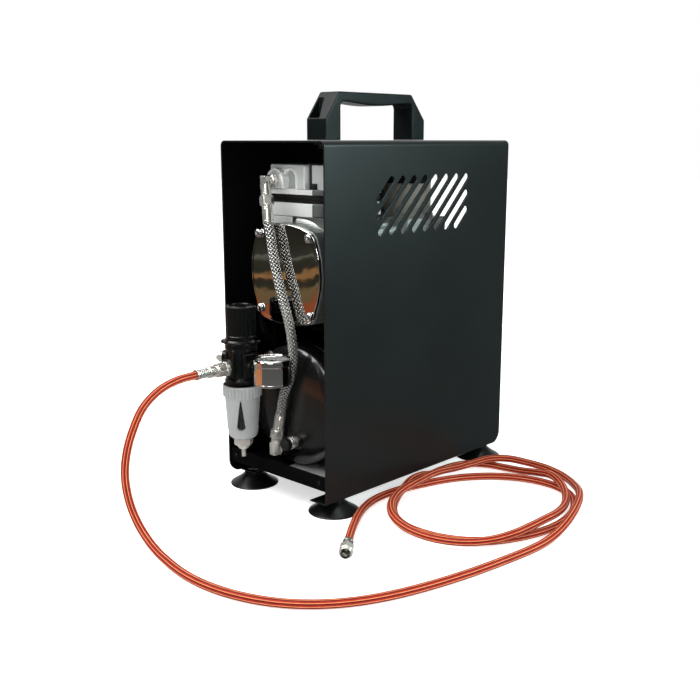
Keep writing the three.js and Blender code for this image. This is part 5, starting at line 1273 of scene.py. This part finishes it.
def fan_blade(k):
    rows = []
    for t in np.linspace(0, 1, 12):
        r = 10 + 28.3 * t
        pitch = math.radians(52 - 24 * t)
        half = 3.9 * (1 + 0.3 * t)
        rows.append((r, pitch, half))
    v, f = [], []
    for r, p, h in rows:
        dyy, dzz = half_vec = (math.cos(p) * h * 0.9, math.sin(p) * h)
        for sgn, off in ((1, 0.35), (1, -0.35), (-1, -0.35), (-1, 0.35)):
            v.append((r, sgn * dyy + off * math.sin(p), 4.5 + sgn * min(dzz, 3.9) + off * math.cos(p) * 0.5))
    n = len(rows)
    for i in range(n - 1):
        for j in range(4):
            f.append((i * 4 + j, i * 4 + (j + 1) % 4, (i + 1) * 4 + (j + 1) % 4, (i + 1) * 4 + j))
    f += [(3, 2, 1, 0), ((n - 1) * 4, (n - 1) * 4 + 1, (n - 1) * 4 + 2, (n - 1) * 4 + 3)]
    return turned_by(geo(v, f), "Z", k * 360 / 7)


fan = joined(ring(12, 6.3, 9, 48), *[fan_blade(k) for k in range(7)])
make("fan_wheel", along(fan, "y", (0, 80.5, CRANK_Z)), BLACK_MATT, "cooling_fan", sharp=40)

# ------------------------------------------------------------------ crank parts
pin = CRANK_Z + CRANK_R
piston = moved(lathe([(0, 0), (BORE_R - 0.5, 0), (BORE_R - 0.5, 2.6), (BORE_R - 1.2, 3.0), (BORE_R - 0.5, 3.4), (BORE_R - 0.5, 7), (0, 7)], 72, 0.3), 0, CYL_Y, 268)
shank = xz(soften([(-7, 269), (-5, 262), (-4.2, pin + 9), (4.2, pin + 9), (5, 262), (7, 269)], 1.5, 3, True), CYL_Y - 4, CYL_Y + 4, (), 0.8, 3)
eye = along(ring(11, 5.2, 12, 64, 0.6), "y", (0, CYL_Y - 6, pin))
make("piston_rod", joined(piston, shank, eye), MACHINED, "connecting_rod")
web_pts = arc(0, pin, 7.5, 25, 155, 16) + arc(0, CRANK_Z, 20, 200, 340, 30)
make("crank_shaft", joined(xz(web_pts, -55, -47.5, (), 0.6, 3), along(rod(4.6, 3, 40), "y", (0, -56.6, pin)), along(rod(6, 141, 48), "y", (0, -50, CRANK_Z))), STEEL, "crankshaft")

# ------------------------------------------------------------------ electrics
box_g = carve(moved(block(-65.1, -30, 103, 130, 168, 236, 1.6, 2.0)), block(-58, -37, 121.4, 133, 207, 228, 0.2, 0.8))
bezel = carve(block(-59.5, -35.5, 128.6, 130.9, 205.5, 229.5, 0.5, 1.0), block(-58, -37, 121.4, 133, 207, 228, 0.1, 0.5))
inlet = carve(block(-60, -35, 129.5, 131.4, 174, 196, 0.4, 1.2), block(-57.5, -37.5, 130.2, 134, 176.5, 193.5, 0.2, 2.0))
blades = [mat_index(block(x - 1, x + 1, 129.9, 131.4, 181.5, 188, 0.15, 0.3), 1) for x in (-53, -47.5, -42)]
screws_box = [mat_index(along(pan_screw(2.2, 1.3), "y", (x, 129.9, z)), 1) for x, z in ((-61.5, 232.5), (-33.5, 232.5), (-61.5, 171), (-33.5, 171))]
make("switch_box", joined(box_g, bezel, inlet, *blades, *screws_box), [BLACK_MATT, STEEL], "control_box", sharp=35)
rk = soften([(125, 209), (133, 209), (130.4, 217.5), (129.9, 226), (125, 226)], 0.8, 3, True)
make("rocker_key", yz(rk, -57, -38, (), 0.5, 3), RED, "rocker_switch")
cable_pts = [(-47, -20, 210), (-53, -27, 214), (-57.5, -48, 214), (-58.5, -72, 206), (-58.5, -88, 188), (-58.5, -94, 166), (-59.5, -88, 146), (-61.5, -56, 132), (-61.8, 4, 128), (-60.5, 56, 140), (-54, 80, 166), (-50, 94, 182), (-50, 102.6, 182)]
cable_path, _ = catmull(cable_pts, 140)
make("motor_lead", sweep(cable_path, 2.6, 20), RUBBER, "motor_cable", weighted=False, sharp=60)


# ------------------------------------------------------------------ stage
FLOOR_NEAR = 0.62


def stage_plane(name, pts, mat):
    me = bpy.data.meshes.new(name)
    me.from_pydata(pts, [], [tuple(range(len(pts)))])
    me.materials.append(mat)
    ob = bpy.data.objects.new(name, me)
    SCENE.collection.objects.link(ob)
    return ob


floor_mat = Mat("floor_paper", Specular_IOR_Level=0.15)
floor_mat.colour(floor_mat.mix(floor_mat.noise(3, 3), (0.80, 0.80, 0.80), (0.83, 0.83, 0.83)))
floor_mat.rough(floor_mat.span(floor_mat.noise(200, 2), 0.3, 0.7, 0.7, 0.85))
away = floor_mat.add("ShaderNodeVectorMath", operation="LENGTH")
floor_mat.put(away.inputs[0], floor_mat.obj)
floor_mat.put(floor_mat.b.inputs["Emission Strength"], floor_mat.span(away.outputs["Value"], 0.35, 0.9, FLOOR_NEAR, 1.05))
floor_mat.b.inputs["Emission Color"].default_value = (1, 1, 1, 1)
ground = stage_plane("floor", [(-8, -8, 0), (8, -8, 0), (8, 8, 0), (-8, 8, 0)], floor_mat.m)
ground.visible_glossy = False


def glow(name, strength, colour=(1, 1, 1)):
    m = bpy.data.materials.new(name)
    m.use_nodes = True
    nt = m.node_tree
    nt.nodes.clear()
    e, o = nt.nodes.new("ShaderNodeEmission"), nt.nodes.new("ShaderNodeOutputMaterial")
    e.inputs["Strength"].default_value, e.inputs["Color"].default_value = strength, (*colour, 1)
    nt.links.new(e.outputs[0], o.inputs["Surface"])
    return m


# a white surround that only the camera sees, so that reflections come from the lights and cards
me = bpy.data.meshes.new("backdrop")
bm = bmesh.new()
bmesh.ops.create_icosphere(bm, subdivisions=4, radius=7.5)
bm.to_mesh(me)
bm.free()
backdrop = bpy.data.objects.new("backdrop", me)
SCENE.collection.objects.link(backdrop)
me.materials.append(glow("backdrop_white", 1.0))
backdrop.visible_diffuse = backdrop.visible_glossy = backdrop.visible_transmission = backdrop.visible_shadow = backdrop.visible_volume_scatter = False
backdrop.visible_transmission = True

# the surround that light and reflections see: white behind the object, a dim room in front of it, darker at the horizon
world = bpy.data.worlds.new("studio")
SCENE.world = world
world.use_nodes = True
wn = world.node_tree
bg = wn.nodes["Background"]
bg.inputs["Strength"].default_value = 1.0


def wnode(kind, **kw):
    n = wn.nodes.new(kind)
    for k, v in kw.items():
        setattr(n, k, v)
    return n


def wspan(src, a, b):
    n = wnode("ShaderNodeMapRange", interpolation_type="SMOOTHSTEP")
    wn.links.new(src, n.inputs[0])
    n.inputs[1].default_value, n.inputs[2].default_value = a, b
    return n.outputs[0]


tc, sep, dot = wnode("ShaderNodeTexCoord"), wnode("ShaderNodeSeparateXYZ"), wnode("ShaderNodeVectorMath", operation="DOT_PRODUCT")
wn.links.new(tc.outputs["Generated"], sep.inputs[0])
wn.links.new(tc.outputs["Generated"], dot.inputs[0])
dot.inputs[1].default_value = (-0.69, 0.724, 0.0)
height = wnode("ShaderNodeMapRange")
wn.links.new(sep.outputs[2], height.inputs[0])
height.inputs[1].default_value, height.inputs[2].default_value = -1, 1
up_ramp = wnode("ShaderNodeValToRGB")
wn.links.new(height.outputs[0], up_ramp.inputs[0])
stops = [(0.0, (0.22, 0.22, 0.215)), (0.32, (0.16, 0.16, 0.157)), (0.42, (0.050, 0.051, 0.051)), (0.50, (0.028, 0.031, 0.031)), (0.62, (0.045, 0.050, 0.050)), (0.80, (0.19, 0.20, 0.205)), (1.0, (0.40, 0.41, 0.41))]
for i, (p, c) in enumerate(stops):
    el = up_ramp.color_ramp.elements[i] if i < 2 else up_ramp.color_ramp.elements.new(p)
    el.position, el.color = p, (*c, 1)
blend = wnode("ShaderNodeMix", data_type="RGBA")
wn.links.new(wspan(dot.outputs["Value"], 0.42, 0.85), blend.inputs[0])
wn.links.new(up_ramp.outputs[0], blend.inputs[6])
blend.inputs[7].default_value = (0.74, 0.755, 0.76, 1)
wn.links.new(blend.outputs[2], bg.inputs["Color"])


def area(name, loc, target, size, power, colour=(1, 1, 1), size_y=None):
    d = bpy.data.lights.new(name, "AREA")
    d.energy, d.color, d.shape, d.size, d.size_y = power, colour, "RECTANGLE", size, size_y or size
    o = bpy.data.objects.new(name, d)
    SCENE.collection.objects.link(o)
    o.location = loc
    o.rotation_mode = "QUATERNION"
    o.rotation_quaternion = (Vector(target) - Vector(loc)).to_track_quat("-Z", "Y")
    return o


area("key", (-0.85, -1.15, 2.1), (0, -0.05, 0.15), 1.7, 62, (1, 0.995, 0.98))
area("front", (0.95, -1.75, 1.9), (0, 0, 0.12), 1.0, 16, (1, 1, 1))
area("side", (1.30, 0.62, 0.66), (0.06, -0.05, 0.3), 0.5, 15, (0.78, 1.0, 1.0))
area("fill", (0.86, -0.80, 0.52), (0, -0.08, 0.2), 0.14, 1.6, (1, 1, 1))
area("top", (0.0, 0.3, 2.6), (0, 0, 0.1), 1.2, 14)


def card(name, centre, normal, w, h, mat):
    n = Vector(normal).normalized()
    side = n.cross(Vector((0, 0, 1))).normalized()
    up = side.cross(n)
    c = Vector(centre)
    pts = [tuple(c + side * a * w / 2 + up * b * h / 2) for a, b in ((-1, -1), (1, -1), (1, 1), (-1, 1))]
    ob = stage_plane(name, pts, mat)
    ob.visible_camera = ob.visible_diffuse = ob.visible_shadow = ob.visible_transmission = ob.visible_volume_scatter = False
    return ob


# what the polished cover faces: a dim room with warm bands low down
room = bpy.data.materials.new("room_card")
room.use_nodes = True
nt = room.node_tree
nt.nodes.clear()
o, e = nt.nodes.new("ShaderNodeOutputMaterial"), nt.nodes.new("ShaderNodeEmission")
tcn, sp, rp, mp = nt.nodes.new("ShaderNodeTexCoord"), nt.nodes.new("ShaderNodeSeparateXYZ"), nt.nodes.new("ShaderNodeValToRGB"), nt.nodes.new("ShaderNodeMapRange")
nt.links.new(tcn.outputs["Object"], sp.inputs[0])
wob, wm = nt.nodes.new("ShaderNodeTexNoise"), nt.nodes.new("ShaderNodeMath")
wob.inputs["Scale"].default_value, wob.inputs["Detail"].default_value = 9.0, 2.0
nt.links.new(tcn.outputs["Object"], wob.inputs["Vector"])
wm.operation = "MULTIPLY_ADD"
nt.links.new(wob.outputs[0], wm.inputs[0])
wm.inputs[1].default_value = 0.035
nt.links.new(sp.outputs[2], wm.inputs[2])
nt.links.new(wm.outputs[0], mp.inputs[0])
mp.inputs[1].default_value, mp.inputs[2].default_value = 0.0375, 0.3375
nt.links.new(mp.outputs[0], rp.inputs[0])
ce = rp.color_ramp.elements
bands = [(0.0, (0.56, 0.25, 0.11)), (0.10, (0.50, 0.20, 0.085)), (0.18, (0.27, 0.070, 0.028)), (0.335, (0.25, 0.062, 0.026)), (0.345, (0.125, 0.085, 0.04)), (0.40, (0.15, 0.10, 0.048)), (0.41, (0.028, 0.026, 0.018)), (0.45, (0.022, 0.021, 0.015)),
         (0.456, (0.30, 0.145, 0.055)), (0.482, (0.22, 0.12, 0.05)), (0.487, (0.024, 0.023, 0.017)), (0.54, (0.03, 0.029, 0.022)), (0.562, (0.13, 0.125, 0.10)), (0.572, (0.035, 0.034, 0.027)), (0.64, (0.022, 0.022, 0.016)),
         (1.0, (0.014, 0.014, 0.012))]
for i, (p, c) in enumerate(bands):
    el = ce[0] if i == 0 else (ce[1] if i == 1 else ce.new(p))
    el.position, el.color = p, (*c, 1)
nt.links.new(rp.outputs[0], e.inputs["Color"])
nt.links.new(e.outputs[0], o.inputs["Surface"])
card("room_card", (-0.27, -0.36, 0.21), (0.673, 0.708, 0.0), 0.46, 0.38, room)

SCENE.view_settings.view_transform = "Standard"
SCENE.view_settings.look = "None"
